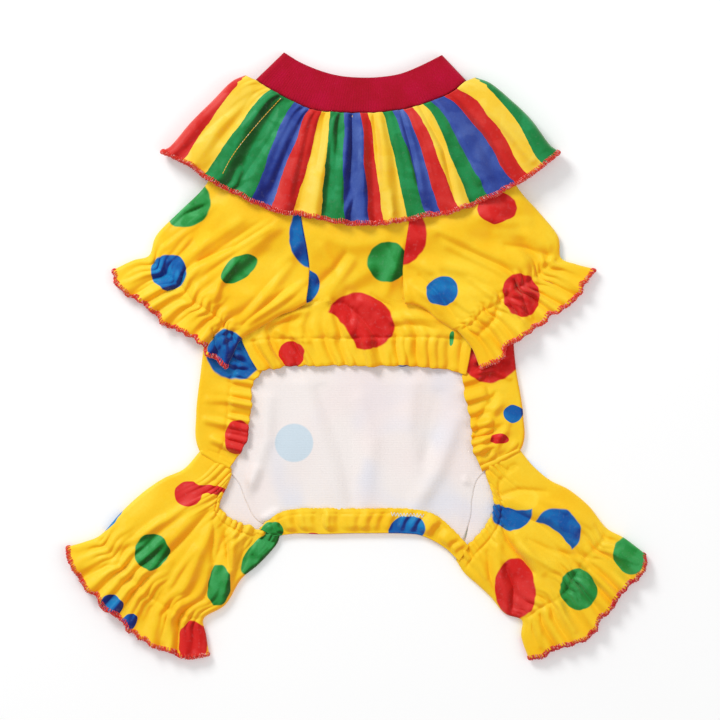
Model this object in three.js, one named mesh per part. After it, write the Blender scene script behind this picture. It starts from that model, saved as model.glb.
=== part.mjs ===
// Dog clown costume, a four-legged romper for a small dog, laid flat on its back with the belly side up.
// Millimetres. +X to the right of the belly side, +Y towards the neck, +Z up. The origin is on the flat
// underside, below the middle of the back panel. Every piece is a wall of cloth: a mid-surface worked out
// from the edges of its cut, moved out by half its thickness to each side.
import * as THREE from "three";

// ---- driving sizes ----
const PLUSH = 1.6; // body cloth, pile included
const STRIPED = 1.4; // ruffle cloth
const RIB = 2.4; // neck band, rib knit folded double
const SEAM = 0.3; // clearance between two pieces that are sewn or lie together
const PITCH = 2.7; // from one layer's mid-surface to the next, where two layers lie together
const COLLAR_LIFT = 4.6; // how far the ruffle's under half raises the back panel
const COLLAR_RAMP = 28; // length of the slope where the back panel climbs onto the ruffle
const RUFFLE_DIP = 95; // lowest point of the ruffle's hem on the centre line
const RUFFLE_BOW = 0.00263; // how the ruffle's hem rises to its tips, per mm squared

const FLOOR = PLUSH / 2; // mid-surface of a layer that lies on the surface

// ---- small mathematics ----
const mix = (a, b, k) => a + (b - a) * k;
const clamp01 = (x) => Math.min(1, Math.max(0, x));
const smooth = (low, high, x) => {
  const k = clamp01((x - low) / (high - low));
  return k * k * (3 - 2 * k);
};
const bell = (x, centre, spread) => Math.exp(-(((x - centre) / spread) ** 2));

// A smooth value read from one column of a table, at a station of its column "at".
function column(rows, key) {
  const slope = (i) => {
    const a = rows[Math.max(0, i - 1)];
    const b = rows[Math.min(rows.length - 1, i + 1)];
    return (b[key] - a[key]) / (b.at - a.at);
  };
  return (at) => {
    let i = 0;
    while (i < rows.length - 2 && at > rows[i + 1].at) i += 1;
    const [a, b] = [rows[i], rows[i + 1]];
    const span = b.at - a.at;
    const k = clamp01((at - a.at) / span);
    const [k2, k3] = [k * k, k * k * k];
    return (
      (2 * k3 - 3 * k2 + 1) * a[key] +
      (k3 - 2 * k2 + k) * span * slope(i) +
      (3 * k2 - 2 * k3) * b[key] +
      (k3 - k2) * span * slope(i + 1)
    );
  };
}

// An edge of a cut through a few points [x, y], as a function of the share of its length.
function edge(points) {
  const rows = points.map(([x, y]) => ({ at: 0, x, y }));
  for (let i = 1; i < rows.length; i += 1) {
    rows[i].at = rows[i - 1].at + Math.hypot(rows[i].x - rows[i - 1].x, rows[i].y - rows[i - 1].y);
  }
  const length = rows.at(-1).at;
  rows.forEach((row) => (row.at /= length));
  const [x, y] = [column(rows, "x"), column(rows, "y")];
  return (share) => [x(share), y(share)];
}

// The flat layout of a cut between a starting edge, a finishing edge and the two rails that join their ends:
// straight from rail to rail, plus what is left of each edge's own bow at share t of the way. The bows die
// away faster with a higher `fade`.
function layout(start, finish, railA, railB, fade = 1) {
  const bow = (side, i, s) => side(s)[i] - mix(side(0)[i], side(1)[i], s);
  return (s, t) =>
    [0, 1].map((i) => {
      const bows = bow(start, i, clamp01(s)) * (1 - t) ** fade + bow(finish, i, clamp01(s)) * t ** fade;
      return mix(railA(t)[i], railB(t)[i], s) + bows;
    });
}

// ---- heights of the layers above the surface that the garment lies on ----
const ruffleHem = (x) => RUFFLE_DIP + RUFFLE_BOW * x * x;
const backLevel = (x, y) => {
  const top = ruffleHem(x) - 9;
  return FLOOR + COLLAR_LIFT * smooth(top - COLLAR_RAMP, top, y);
};

// The largest folds of the top layer. Each is a soft ridge from one point to another, as wide as `wide`
// from its crest to where it dies away.
const FOLDS = [
  { piece: "sleeve_left", x1: -52, y1: 96, x2: -118, y2: 52, wide: 7, high: 1.9 },
  { piece: "sleeve_left", x1: -58, y1: 70, x2: -108, y2: 40, wide: 6, high: 1.5 },
  { piece: "sleeve_left", x1: -100, y1: 104, x2: -136, y2: 70, wide: 8, high: 1.4 },
  { piece: "sleeve_right", x1: 62, y1: 92, x2: 118, y2: 66, wide: 7, high: 2.0 },
  { piece: "sleeve_right", x1: 50, y1: 66, x2: 104, y2: 50, wide: 7, high: 1.6 },
  { piece: "sleeve_right", x1: 72, y1: 42, x2: 96, y2: 18, wide: 6, high: 2.0 },
  { piece: "chest_panel", x1: -30, y1: 42, x2: 8, y2: 62, wide: 8, high: 1.8 },
  { piece: "chest_panel", x1: -22, y1: 34, x2: 6, y2: 10, wide: 6, high: 2.2 },
  { piece: "chest_panel", x1: -2, y1: 40, x2: 20, y2: 18, wide: 6, high: 2.0 },
  { piece: "chest_panel", x1: 24, y1: 30, x2: 62, y2: 18, wide: 6, high: 1.6 },
  { piece: "leg_left", x1: -112, y1: -104, x2: -152, y2: -128, wide: 7, high: 1.8 },
  { piece: "leg_left", x1: -98, y1: -120, x2: -128, y2: -164, wide: 6, high: 2.0 },
  { piece: "leg_left", x1: -88, y1: -122, x2: -92, y2: -160, wide: 5, high: 2.2 },
  { piece: "leg_right", x1: 104, y1: -122, x2: 128, y2: -160, wide: 6, high: 2.4 },
  { piece: "leg_right", x1: 108, y1: -96, x2: 152, y2: -120, wide: 7, high: 1.6 },
  { piece: "leg_right", x1: 96, y1: -132, x2: 104, y2: -176, wide: 6, high: 1.8 },
];

// How high the folds of one piece stand at a point of its layout.
function foldHeight(piece, x, y) {
  return FOLDS.filter((fold) => fold.piece === piece).reduce((sum, fold) => {
    const [dx, dy] = [fold.x2 - fold.x1, fold.y2 - fold.y1];
    const along = ((x - fold.x1) * dx + (y - fold.y1) * dy) / (dx * dx + dy * dy);
    const aside = ((x - fold.x1) * dy - (y - fold.y1) * dx) / Math.hypot(dx, dy);
    const ends = smooth(-0.15, 0.2, along) * smooth(1.15, 0.8, along);
    return sum + fold.high * ends * bell(aside, 0, fold.wide);
  }, 0);
}

// ---- building a wall of cloth from a mid-surface ----
const STEP = 1e-3;
// surface(v, t) gives a mid-surface point; rows give the stations t and, for each, the places v of its points.
// Two rows are joined over the places that both of them have.
function wall(name, colour, surface, rows, thickness, closed) {
  const positions = [];
  const corners = []; // triangles of the cloth's layout, by point; each point has one vertex on each face
  const normalAt = (v, t) => {
    const [t0, t1] = [Math.max(0, t - STEP), Math.min(1, t + STEP)];
    const across = new THREE.Vector3().subVectors(surface(v + STEP, t), surface(v - STEP, t));
    const down = new THREE.Vector3().subVectors(surface(v, t1), surface(v, t0));
    return across.cross(down).normalize().multiplyScalar(thickness / 2);
  };
  const made = rows.map(({ t, places }) => {
    const points = places.map((v) => {
      const [middle, half] = [surface(v, t), normalAt(v, t)];
      positions.push(...middle.clone().add(half), ...middle.clone().sub(half));
      return { v, id: positions.length / 6 - 1 };
    });
    return closed ? [...points, { v: points[0].v + 1, id: points[0].id }] : points;
  });
  for (let r = 0; r + 1 < made.length; r += 1) {
    const from = Math.max(made[r][0].v, made[r + 1][0].v);
    const upTo = Math.min(made[r].at(-1).v, made[r + 1].at(-1).v);
    const [low, high] = [made[r], made[r + 1]].map((row) => row.filter(({ v }) => v >= from && v <= upTo));
    let [i, j] = [0, 0];
    while (i + 1 < low.length || j + 1 < high.length) {
      const stepLow = j + 1 >= high.length || (i + 1 < low.length && low[i + 1].v <= high[j + 1].v);
      corners.push([low[i].id, stepLow ? low[i + 1].id : high[j + 1].id, high[j].id]);
      if (stepLow) i += 1;
      else j += 1;
    }
  }

  const faces = [];
  const edges = new Set(corners.flatMap(([a, b, c]) => [`${a} ${b}`, `${b} ${c}`, `${c} ${a}`]));
  const [over, under] = [(id) => 2 * id, (id) => 2 * id + 1];
  corners.forEach(([a, b, c]) => faces.push(over(a), over(b), over(c), under(a), under(c), under(b)));
  edges.forEach((key) => {
    const [a, b] = key.split(" ").map(Number);
    if (edges.has(`${b} ${a}`)) return;
    faces.push(over(b), over(a), under(a), over(b), under(a), under(b));
  });

  const geometry = new THREE.BufferGeometry();
  geometry.setAttribute("position", new THREE.Float32BufferAttribute(positions, 3));
  geometry.setIndex(faces);
  geometry.computeVertexNormals();
  const material = new THREE.MeshStandardMaterial({ color: colour, roughness: 0.85, metalness: 0 });
  const mesh = new THREE.Mesh(geometry, material);
  mesh.name = name;
  return mesh;
}

// ---- flattened tubes: sleeves, legs, ruffle and neck band ----
const TURN = 0.03; // share of the way round that each rounded side takes

// Where a point of the ring lies: its share s from side A to side B, and `front`, which is 1 on the top
// layer, 0 on the layer beneath, and between them in the rounded sides.
function ringPlace(v, sideShare) {
  const around = v - Math.floor(v);
  const top = around <= 0.5;
  const along = top ? 2 * around : 2 * (1 - around);
  const turn = 2 * TURN;
  const signed = (sine) => 0.5 + (top ? 0.5 : -0.5) * sine;
  if (along < turn) {
    const angle = (along / turn) * (Math.PI / 2);
    return { s: sideShare * (1 - Math.cos(angle)), front: signed(Math.sin(angle)) };
  }
  if (along > 1 - turn) {
    const angle = ((1 - along) / turn) * (Math.PI / 2);
    return { s: 1 - sideShare * (1 - Math.cos(angle)), front: signed(Math.sin(angle)) };
  }
  return { s: mix(sideShare, 1 - sideShare, (along - turn) / (1 - 2 * turn)), front: top ? 1 : 0 };
}

// The places round a ring: two steps in each quarter turn, and evenly along each layer.
function ringPlaces(topSteps, underSteps) {
  const run = (from, to, steps) => Array.from({ length: steps }, (_, i) => mix(from, to, i / steps));
  return [
    ...run(0, TURN, 2),
    ...run(TURN, 0.5 - TURN, topSteps),
    ...run(0.5 - TURN, 0.5 + TURN, 4),
    ...run(0.5 + TURN, 1 - TURN, underSteps),
    ...run(1 - TURN, 1, 2),
  ];
}

// The mid-surface of a flattened tube. `top` and `under` are layouts; `low` and `high` give the heights
// of the two layers at (x, y, s, t).
function tube({ top, under, low, high, sideRadius }) {
  return (v, t) => {
    const wide = Math.hypot(top(1, t)[0] - top(0, t)[0], top(1, t)[1] - top(0, t)[1]);
    const { s, front } = ringPlace(v, sideRadius / wide);
    const [a, b] = [under(s, t), top(s, t)];
    const [x, y] = [mix(a[0], b[0], front), mix(a[1], b[1], front)];
    return new THREE.Vector3(x, y, mix(low(x, y, s, t), high(x, y, s, t), front));
  };
}

// Uneven waves along a gathered edge, from -1 to 1.
const waves = (s, count, shift) =>
  Math.sin(2 * Math.PI * (count * s + 0.25 * Math.sin(2 * Math.PI * s * 2 + shift)) + shift);

// ---- limbs ----
// Each limb lies between its outer folded side and its inner side. `crown` is how far the top layer stands
// off the layer beneath, over what two flat layers need, and `wave` is the height of its gathers.
// The seams between the chest panel and the two sleeves, from the underarm up to the neck.
const RAGLAN = [
  { at: 40.6, left: -37.6, right: 31.3 },
  { at: 54, left: -35.9, right: 30.2 },
  { at: 68.6, left: -35.5, right: 29.9 },
  { at: 96.6, left: -40.4, right: 34.1 },
  { at: 122.5, left: -43.9, right: 37 },
  { at: 147, left: -48.9, right: 40.5 },
  { at: 165, left: -51.4, right: 43.8 },
  { at: 178, left: -53.8, right: 47 },
];

// The seams between the back panel and the two sleeves.
const BACK_RAGLAN = [
  { at: 64, left: -110.4, right: 111.6 },
  { at: 74, left: -107, right: 108.4 },
  { at: 87, left: -100, right: 101.6 },
  { at: 105, left: -90.5, right: 92.2 },
  { at: 125, left: -81, right: 82.6 },
  { at: 145, left: -72.5, right: 74 },
  { at: 165, left: -66, right: 67.4 },
  { at: 180, left: -62, right: 63.4 },
];

const ARM_ELASTIC = 0.72;
const LEG_ELASTIC = 0.74;

const SLEEVE_LEFT = {
  name: "sleeve_left",
  elastic: ARM_ELASTIC,
  fade: 1.5,
  bodyRows: [0, 0.06, 0.13, 0.2, 0.26, 0.31, 0.36, 0.42, 0.5],
  hemWaves: 8,
  rails: [
    { at: 0, outX: -70.5, outY: 190.5, inX: -37.8, inY: 40.6, crown: 0, wave: 0 },
    { at: 0.12, outX: -84, outY: 164.5, inX: -46, inY: 35.6, crown: 0.6, wave: 0 },
    { at: 0.24, outX: -98, outY: 140, inX: -56, inY: 32, crown: 1.6, wave: 0 },
    { at: 0.36, outX: -108.5, outY: 120.4, inX: -65, inY: 26.5, crown: 2.6, wave: 0 },
    { at: 0.48, outX: -127, outY: 102.5, inX: -73.5, inY: 21.8, crown: 3.6, wave: 0.1 },
    { at: 0.6, outX: -142, outY: 87, inX: -80.5, inY: 17.5, crown: 3.6, wave: 0.7 },
    { at: ARM_ELASTIC, outX: -147, outY: 73, inX: -85.5, inY: 12.5, crown: 2.2, wave: 1.3 },
    { at: 0.86, outX: -159, outY: 69, inX: -89.5, inY: 3.8, crown: 2.4, wave: 1.4 },
    { at: 1, outX: -173, outY: 62.3, inX: -94, inY: -5, crown: 2.4, wave: 2.2 },
  ],
  root: [[-70.5, 190.5], [-63, 185.5], ...RAGLAN.map((row) => [row.left - 1.5 * SEAM, row.at]).reverse()],
  hem: [
    [-173, 62.3],
    [-168, 50],
    [-157, 43.4],
    [-146, 36],
    [-136.5, 25.2],
    [-126, 21],
    [-112, 13.3],
    [-105, 4],
    [-94, -5],
  ],
};

const SLEEVE_RIGHT = {
  name: "sleeve_right",
  elastic: ARM_ELASTIC,
  fade: 1.5,
  bodyRows: [0, 0.06, 0.13, 0.2, 0.26, 0.31, 0.36, 0.42, 0.5],
  hemWaves: 8,
  rails: [
    { at: 0, outX: 72, outY: 191, inX: 31.5, inY: 39.9, crown: 0, wave: 0 },
    { at: 0.12, outX: 85.4, outY: 164.5, inX: 38.5, inY: 39.5, crown: 0.6, wave: 0 },
    { at: 0.24, outX: 99.4, outY: 140, inX: 46.9, inY: 35.7, crown: 1.6, wave: 0 },
    { at: 0.36, outX: 110.6, outY: 119, inX: 53.9, inY: 29.4, crown: 2.6, wave: 0 },
    { at: 0.48, outX: 125, outY: 103, inX: 60, inY: 25.5, crown: 3.6, wave: 0.1 },
    { at: 0.6, outX: 138, outY: 86.5, inX: 65, inY: 22.3, crown: 3.6, wave: 0.7 },
    { at: ARM_ELASTIC, outX: 140, outY: 71.5, inX: 69.3, inY: 20.3, crown: 2.2, wave: 1.3 },
    { at: 0.86, outX: 151, outY: 66.5, inX: 79, inY: 8.5, crown: 2.4, wave: 1.4 },
    { at: 1, outX: 164.5, outY: 63, inX: 84.7, inY: -5.6, crown: 2.4, wave: 2.2 },
  ],
  root: [[72, 191], [60.5, 183.5], ...RAGLAN.map((row) => [row.right + 1.5 * SEAM, row.at]).reverse()],
  hem: [
    [164.5, 63],
    [158.5, 57],
    [153, 46.5],
    [147, 40.5],
    [140, 35.6],
    [133, 31.6],
    [125.5, 26],
    [115.5, 17.5],
    [103.6, 11],
    [98, 1.4],
    [84.7, -5.6],
  ],
};

const LEG_LEFT = {
  name: "leg_left",
  elastic: LEG_ELASTIC,
  fade: 2,
  bodyRows: [0, 0.08, 0.18, 0.29, 0.4, 0.5],
  hemWaves: 9,
  rails: [
    { at: 0, outX: -112, outY: -64.9, inX: -56.6, inY: -122.6, crown: 0, wave: 0 },
    { at: 0.15, outX: -123, outY: -77, inX: -60, inY: -130, crown: 0.8, wave: 0 },
    { at: 0.3, outX: -138, outY: -84, inX: -72, inY: -143, crown: 2.2, wave: 0 },
    { at: 0.45, outX: -153, outY: -94.5, inX: -84, inY: -153.3, crown: 3.6, wave: 0.1 },
    { at: 0.6, outX: -168, outY: -108.5, inX: -95, inY: -171, crown: 3.8, wave: 0.7 },
    { at: LEG_ELASTIC, outX: -181, outY: -123, inX: -110, inY: -180.6, crown: 2.2, wave: 1.3 },
    { at: 0.87, outX: -192.5, outY: -128.1, inX: -108.5, inY: -193, crown: 2.4, wave: 1.5 },
    { at: 1, outX: -205, outY: -131.6, inX: -106.4, inY: -206.5, crown: 2.4, wave: 2.3 },
  ],
  topRoot: [
    [-112, -64.9],
    [-100, -70.5],
    [-91, -76],
    [-92.3, -85],
    [-97, -95],
    [-99, -102],
    [-95, -108],
    [-86.8, -113.5],
    [-77, -117],
    [-69, -120],
    [-56.6, -122.6],
  ],
  underRoot: [
    [-112, -64.9],
    [-98, -76],
    [-87, -87],
    [-81, -101],
    [-74, -113.2],
    [-64, -120],
    [-56.6, -122.6],
  ],
  hem: [
    [-205, -131.6],
    [-203.7, -141.4],
    [-197, -150],
    [-192, -159],
    [-183.4, -166],
    [-179, -174],
    [-168, -181],
    [-161, -189.5],
    [-150.5, -196],
    [-136.5, -203],
    [-120, -208.5],
    [-106.4, -206.5],
  ],
};

const LEG_RIGHT = {
  name: "leg_right",
  elastic: LEG_ELASTIC,
  fade: 2,
  bodyRows: [0, 0.08, 0.18, 0.29, 0.4, 0.5],
  hemWaves: 9,
  rails: [
    { at: 0, outX: 112, outY: -64.2, inX: 68.6, inY: -141, crown: 0, wave: 0 },
    { at: 0.15, outX: 121, outY: -75, inX: 74, inY: -149, crown: 0.8, wave: 0 },
    { at: 0.3, outX: 133, outY: -85, inX: 83, inY: -157, crown: 2.2, wave: 0 },
    { at: 0.45, outX: 146, outY: -91.5, inX: 92.4, inY: -165.9, crown: 3.6, wave: 0.1 },
    { at: 0.6, outX: 160, outY: -103, inX: 102, inY: -177, crown: 3.8, wave: 0.7 },
    { at: LEG_ELASTIC, outX: 172.2, outY: -118.3, inX: 114, inY: -182, crown: 2.2, wave: 1.3 },
    { at: 0.87, outX: 185, outY: -125.5, inX: 113.8, inY: -194, crown: 2.4, wave: 1.5 },
    { at: 1, outX: 199.5, outY: -136.5, inX: 119, inY: -209.3, crown: 2.4, wave: 2.3 },
  ],
  topRoot: [
    [112, -64.2],
    [100, -69.3],
    [89.6, -74.2],
    [89, -81],
    [92.5, -90.5],
    [94.4, -100.5],
    [92, -110],
    [86.1, -119.5],
    [77, -129],
    [68.6, -141],
  ],
  underRoot: [
    [112, -64.2],
    [96, -75],
    [83.4, -85],
    [79.5, -98],
    [78, -112],
    [75.6, -127],
    [68.6, -141],
  ],
  hem: [
    [199.5, -136.5],
    [200.2, -144],
    [194, -153.5],
    [182, -162.4],
    [177, -171.5],
    [168, -182],
    [164, -190],
    [154, -196.7],
    [136.5, -201.6],
    [126, -207],
    [119, -209.3],
  ],
};

// Where a sleeve lies on the body, its under layer rides over the back panel, the side strip and the chest.
const BODY_RISE = 12; // how far outside the body the sleeve starts to climb onto it
const OVER_BACK = PLUSH + 0.95; // the climb onto the back panel
const OVER_STRIP = PITCH + PLUSH + 0.4; // the climb onto the side strip and the chest's lower corners
const BACK_HALF = column(
  [{ at: 0, half: 111 }, { at: 24, half: 108.5 }, ...BACK_RAGLAN.map((row) => ({ at: row.at, half: row.right }))],
  "half",
);
const sleeveUnder = (x, y) => {
  const half = BACK_HALF(y) + 2.5;
  const climb = mix(OVER_BACK, OVER_STRIP, smooth(54, 44, y));
  return backLevel(x, y) + climb * smooth(half + BODY_RISE, half, Math.abs(x));
};
const legUnder = () => FLOOR;

const UNDER_WAVE = 0.35; // the layer beneath waves less, since it lies on the surface

function limb(cut, underLevel) {
  const outer = (t) => [column(cut.rails, "outX")(t), column(cut.rails, "outY")(t)];
  const inner = (t) => [column(cut.rails, "inX")(t), column(cut.rails, "inY")(t)];
  const [crown, wave] = [column(cut.rails, "crown"), column(cut.rails, "wave")];
  const hem = edge(cut.hem);
  const layer = (root) => layout(edge(root), hem, outer, inner, cut.fade);
  const ripple = (s, t) => waves(s, cut.hemWaves, 1 + t) * wave(t) * Math.min(1, 6 * s, 6 * (1 - s));
  const low = (x, y, s, t) => underLevel(x, y) + UNDER_WAVE * (wave(t) + ripple(s, t));
  const high = (x, y, s, t) => {
    const dome = crown(t) * Math.pow(Math.max(0, 4 * s * (1 - s)), 0.6);
    const folds = foldHeight(cut.name, x, y) * smooth(0.02, 0.15, t) * smooth(0.95, 0.8, t);
    const pressed = 1 - 0.85 * smooth(-14, -2, y - ruffleHem(x)); // the ruffle lies on it
    const rest = 2 * UNDER_WAVE * wave(t);
    return underLevel(x, y) + PITCH + (dome + folds) * pressed + rest + ripple(s, t);
  };
  const [top, under] = [layer(cut.topRoot ?? cut.root), layer(cut.underRoot ?? cut.root)];
  const surface = tube({ top, under, low, high, sideRadius: 2 });
  const [fine, plain, wavy] = [ringPlaces(16, 22), ringPlaces(13, 10), ringPlaces(cut.hemWaves * 4, 14)];
  const rows = cut.bodyRows.map((t) => ({ t, places: t < 0.1 ? fine : plain }));
  rows.push(...[0.58, 0.66, cut.elastic, 0.86, 1].map((t) => ({ t, places: wavy })));
  return wall(cut.name, 0xf5b90f, surface, rows, PLUSH, true);
}

// ---- neck: the seam where the body, the ruffle and the neck band are sewn together ----
const NECK_SEAM = [
  [-72, 195.3],
  [-64.4, 190.4],
  [-49, 182],
  [-35, 175.7],
  [-21, 173.6],
  [7, 172.9],
  [28, 175],
  [42, 178.5],
  [56, 183.4],
  [66.5, 189],
  [73.5, 194.6],
];
const NECK_TOP = [
  [-52.5, 214.6],
  [-42, 208.2],
  [-28, 202.3],
  [-14, 198.6],
  [0, 197.4],
  [14, 197.8],
  [28, 200],
  [42, 205.5],
  [56.7, 212.8],
];
const shifted = (points, dy) => points.map(([x, y]) => [x, y + dy]);
const straight = (a, b) => (t) => [mix(a[0], b[0], t), mix(a[1], b[1], t)];

function neckBand() {
  const [seam, top] = [edge(NECK_SEAM), edge(NECK_TOP)];
  const shape = layout(seam, top, straight(NECK_SEAM[0], NECK_TOP[0]), straight(NECK_SEAM.at(-1), NECK_TOP.at(-1)));
  const surface = tube({
    top: shape,
    under: shape,
    low: (x, y, s, t) => mix(4.4, RIB / 2, smooth(0, 0.8, t)),
    high: (x, y, s, t) => mix(10.4, 6.8, t) + 0.5 * Math.sin(Math.PI * s) * (1 - t),
    sideRadius: 2.4,
  });
  const rows = [0, 0.33, 0.66, 1].map((t) => ({ t, places: ringPlaces(20, 14) }));
  return wall("neck_band", 0xb0002a, surface, rows, RIB, true);
}

// ---- ruffle: a striped strip gathered to the neck seam, all round ----
const RUFFLE_WAVES = 14;
const RUFFLE_SIDES = [
  { at: 0, leftX: -80, leftY: 198.5, rightX: 80.5, rightY: 197, low: 3.2, high: 12.9, wave: 0.5 },
  { at: 0.15, leftX: -89.6, leftY: 194, rightX: 91, rightY: 193, low: 2.2, high: 14.1, wave: 0.9 },
  { at: 0.35, leftX: -103, leftY: 180.5, rightX: 105, rightY: 181.5, low: 1.2, high: 15.1, wave: 1.5 },
  { at: 0.6, leftX: -118, leftY: 165.5, rightX: 119, rightY: 168, low: 0.8, high: 15.5, wave: 1.9 },
  { at: 0.85, leftX: -131.6, leftY: 149.5, rightX: 132, rightY: 150.5, low: 0.8, high: 15.3, wave: 2.1 },
  { at: 1, leftX: -138.5, leftY: 145.5, rightX: 139.3, rightY: 145, low: 0.8, high: 15, wave: 2.3 },
];
const RUFFLE_HEM = [
  [-138.5, 145.5],
  [-119, 136],
  [-105, 125.5],
  [-84, 114.8],
  [-60, 104],
  [-35, 100],
  [-10, 95.5],
  [14, 95],
  [42, 99.5],
  [66.5, 104],
  [98, 117],
  [119, 129],
  [139.3, 145],
];

function ruffle() {
  const neckEnds = [
    [RUFFLE_SIDES[0].leftX, RUFFLE_SIDES[0].leftY],
    [RUFFLE_SIDES[0].rightX, RUFFLE_SIDES[0].rightY],
  ];
  const neck = edge([neckEnds[0], ...shifted(NECK_SEAM, -SEAM - 0.2), neckEnds[1]]);
  const left = (t) => [column(RUFFLE_SIDES, "leftX")(t), column(RUFFLE_SIDES, "leftY")(t)];
  const right = (t) => [column(RUFFLE_SIDES, "rightX")(t), column(RUFFLE_SIDES, "rightY")(t)];
  const shape = layout(neck, edge(RUFFLE_HEM), left, right);
  const [low, high, wave] = ["low", "high", "wave"].map((key) => column(RUFFLE_SIDES, key));
  const ripple = (s, t) => waves(s, RUFFLE_WAVES, 0.4) * wave(t) * Math.min(1, 8 * s, 8 * (1 - s));
  const surface = tube({
    top: shape,
    under: shape,
    low: (x, y, s, t) => Math.max(STRIPED / 2, low(t)) + 0.5 * (wave(t) + ripple(s, t)) * smooth(0, 0.4, t),
    high: (x, y, s, t) => high(t) + ripple(s, t),
    sideRadius: 5,
  });
  const places = ringPlaces(RUFFLE_WAVES * 5, RUFFLE_WAVES * 3);
  const rows = [0, 0.12, 0.32, 0.65, 1].map((t) => ({ t, places }));
  return wall("ruffle_collar", 0x1f8a3f, surface, rows, STRIPED, true);
}

// ---- chest panel: from the neck between the two sleeves to the belly opening ----
const CHEST_EDGES = [
  { at: 0, leftY: 181.5, rightY: 178.2, wave: 0 },
  { at: 0.2, leftY: 147, rightY: 147, wave: 0 },
  { at: 0.33, leftY: 122.5, rightY: 122.5, wave: 0 },
  { at: 0.46, leftY: 96.6, rightY: 96.6, wave: 0 },
  { at: 0.6, leftY: 68.6, rightY: 68.6, wave: 0 },
  { at: 0.7, leftY: 41.5, rightY: 41, wave: 0 },
  { at: 0.76, leftY: 31.3, rightY: 33, wave: 0 },
  { at: 0.82, leftY: 18.6, rightY: 20, wave: 0.6 },
  { at: 0.91, leftY: 5, rightY: 4, wave: 1.1 },
  { at: 1, leftY: -8, rightY: -10.5, wave: 1.2 },
];
// Below the underarm the chest panel widens to its side seams, which the sleeves hide.
const SIDE_SEAMS = [
  { at: -16, left: -64, right: 70 },
  { at: -8, left: -67.2, right: 70.6 },
  { at: 4, left: -73.5, right: 72.4 },
  { at: 18.6, left: -78.5, right: 73.5 },
  { at: 27, left: -66, right: 62 },
  { at: 34, left: -49.5, right: 43 },
  ...RAGLAN,
  { at: 188, left: -55, right: 49 },
];
const CHEST_HEM = [
  [-66.9, -8],
  [-56, -5.6],
  [-42, -4.2],
  [0, -4.2],
  [28, -4.2],
  [49, -5.6],
  [60, -7.5],
  [70.1, -10.5],
];
const CHEST_GATHERS = 13;

function chestPanel() {
  const [leftSeam, rightSeam] = [column(SIDE_SEAMS, "left"), column(SIDE_SEAMS, "right")];
  const [leftY, rightY] = [column(CHEST_EDGES, "leftY"), column(CHEST_EDGES, "rightY")];
  const left = (t) => [leftSeam(leftY(t)) + 1.5 * SEAM, leftY(t)];
  const right = (t) => [rightSeam(rightY(t)) - 2 * SEAM, rightY(t)];
  const neck = edge([left(0), ...shifted(NECK_SEAM.slice(3, 8), -SEAM - 0.7), right(0)]);
  const shape = layout(neck, edge(CHEST_HEM), left, right);
  const wave = column(CHEST_EDGES, "wave");
  const surface = (v, t) => {
    const s = clamp01(v);
    const [x, y] = shape(v, t);
    const sides = Math.min(1, 5 * s, 5 * (1 - s));
    const folds = foldHeight("chest_panel", x, y) * smooth(0.9, 0.8, t);
    const gathers = wave(t) * (1 + waves(s, CHEST_GATHERS, 0.8));
    const besideSleeves = OVER_BACK * smooth(48, 66, y);
    return new THREE.Vector3(x, y, backLevel(x, y) + PITCH + besideSleeves + sides * (folds + gathers));
  };
  const evenly = (steps) => Array.from({ length: steps + 1 }, (_, i) => i / steps);
  const rows = [0, 0.08, 0.18, 0.3, 0.37, 0.44, 0.51, 0.58, 0.64, 0.7, 0.76].map((t) => ({ t, places: evenly(12) }));
  const low = [0.8, 0.84, 0.88, 0.92, 0.96, 1];
  rows.push(...low.map((t) => ({ t, places: evenly(4 * CHEST_GATHERS) })));
  return wall("chest_panel", 0xf5b90f, surface, rows, PLUSH, false);
}

// ---- back panel: the flat back, whose sides fold over to the belly side as gathered strips ----
// The strip runs from the fold at the side (outX, outY) to the elastic edge (inX, inY).
const BACK_SIDES = [
  { at: 0, leftX: -54, leftY: -121, rightX: 66.8, rightY: -139.7 },
  { at: 0.05, leftX: -72.6, leftY: -111.8, rightX: 77.1, rightY: -112 },
  { at: 0.09, leftX: -79.6, leftY: -100, rightX: 78.6, rightY: -98 },
  { at: 0.13, leftX: -85.6, leftY: -85.7, rightX: 82.6, rightY: -83.6 },
  { at: 0.17, leftX: -96.8, leftY: -74.6, rightX: 94.8, rightY: -73.5 },
  { at: 0.22, leftX: -112, leftY: -63.2, rightX: 112, rightY: -62.5 },
  { at: 0.34, leftX: -114.1, leftY: -38, rightX: 113.6, rightY: -38 },
  { at: 0.48, leftX: -110.5, leftY: -5, rightX: 108.5, rightY: -5 },
  { at: 0.6, leftX: -107.5, leftY: 24, rightX: 106.5, rightY: 24 },
  { at: 0.67, leftX: -107.3, leftY: 50, rightX: 108, rightY: 50 },
  { at: 0.71, leftX: -107.6, leftY: 64, rightX: 108.8, rightY: 64 },
  ...BACK_RAGLAN.slice(1).map((row) => ({
    at: mix(0.71, 1, (row.at - 64) / (180 - 64)),
    leftX: row.left + SEAM,
    leftY: row.at,
    rightX: row.right - SEAM,
    rightY: row.at,
  })),
];
const STRIP_START = 0.22;
const STRIP_END = 0.62;
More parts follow.
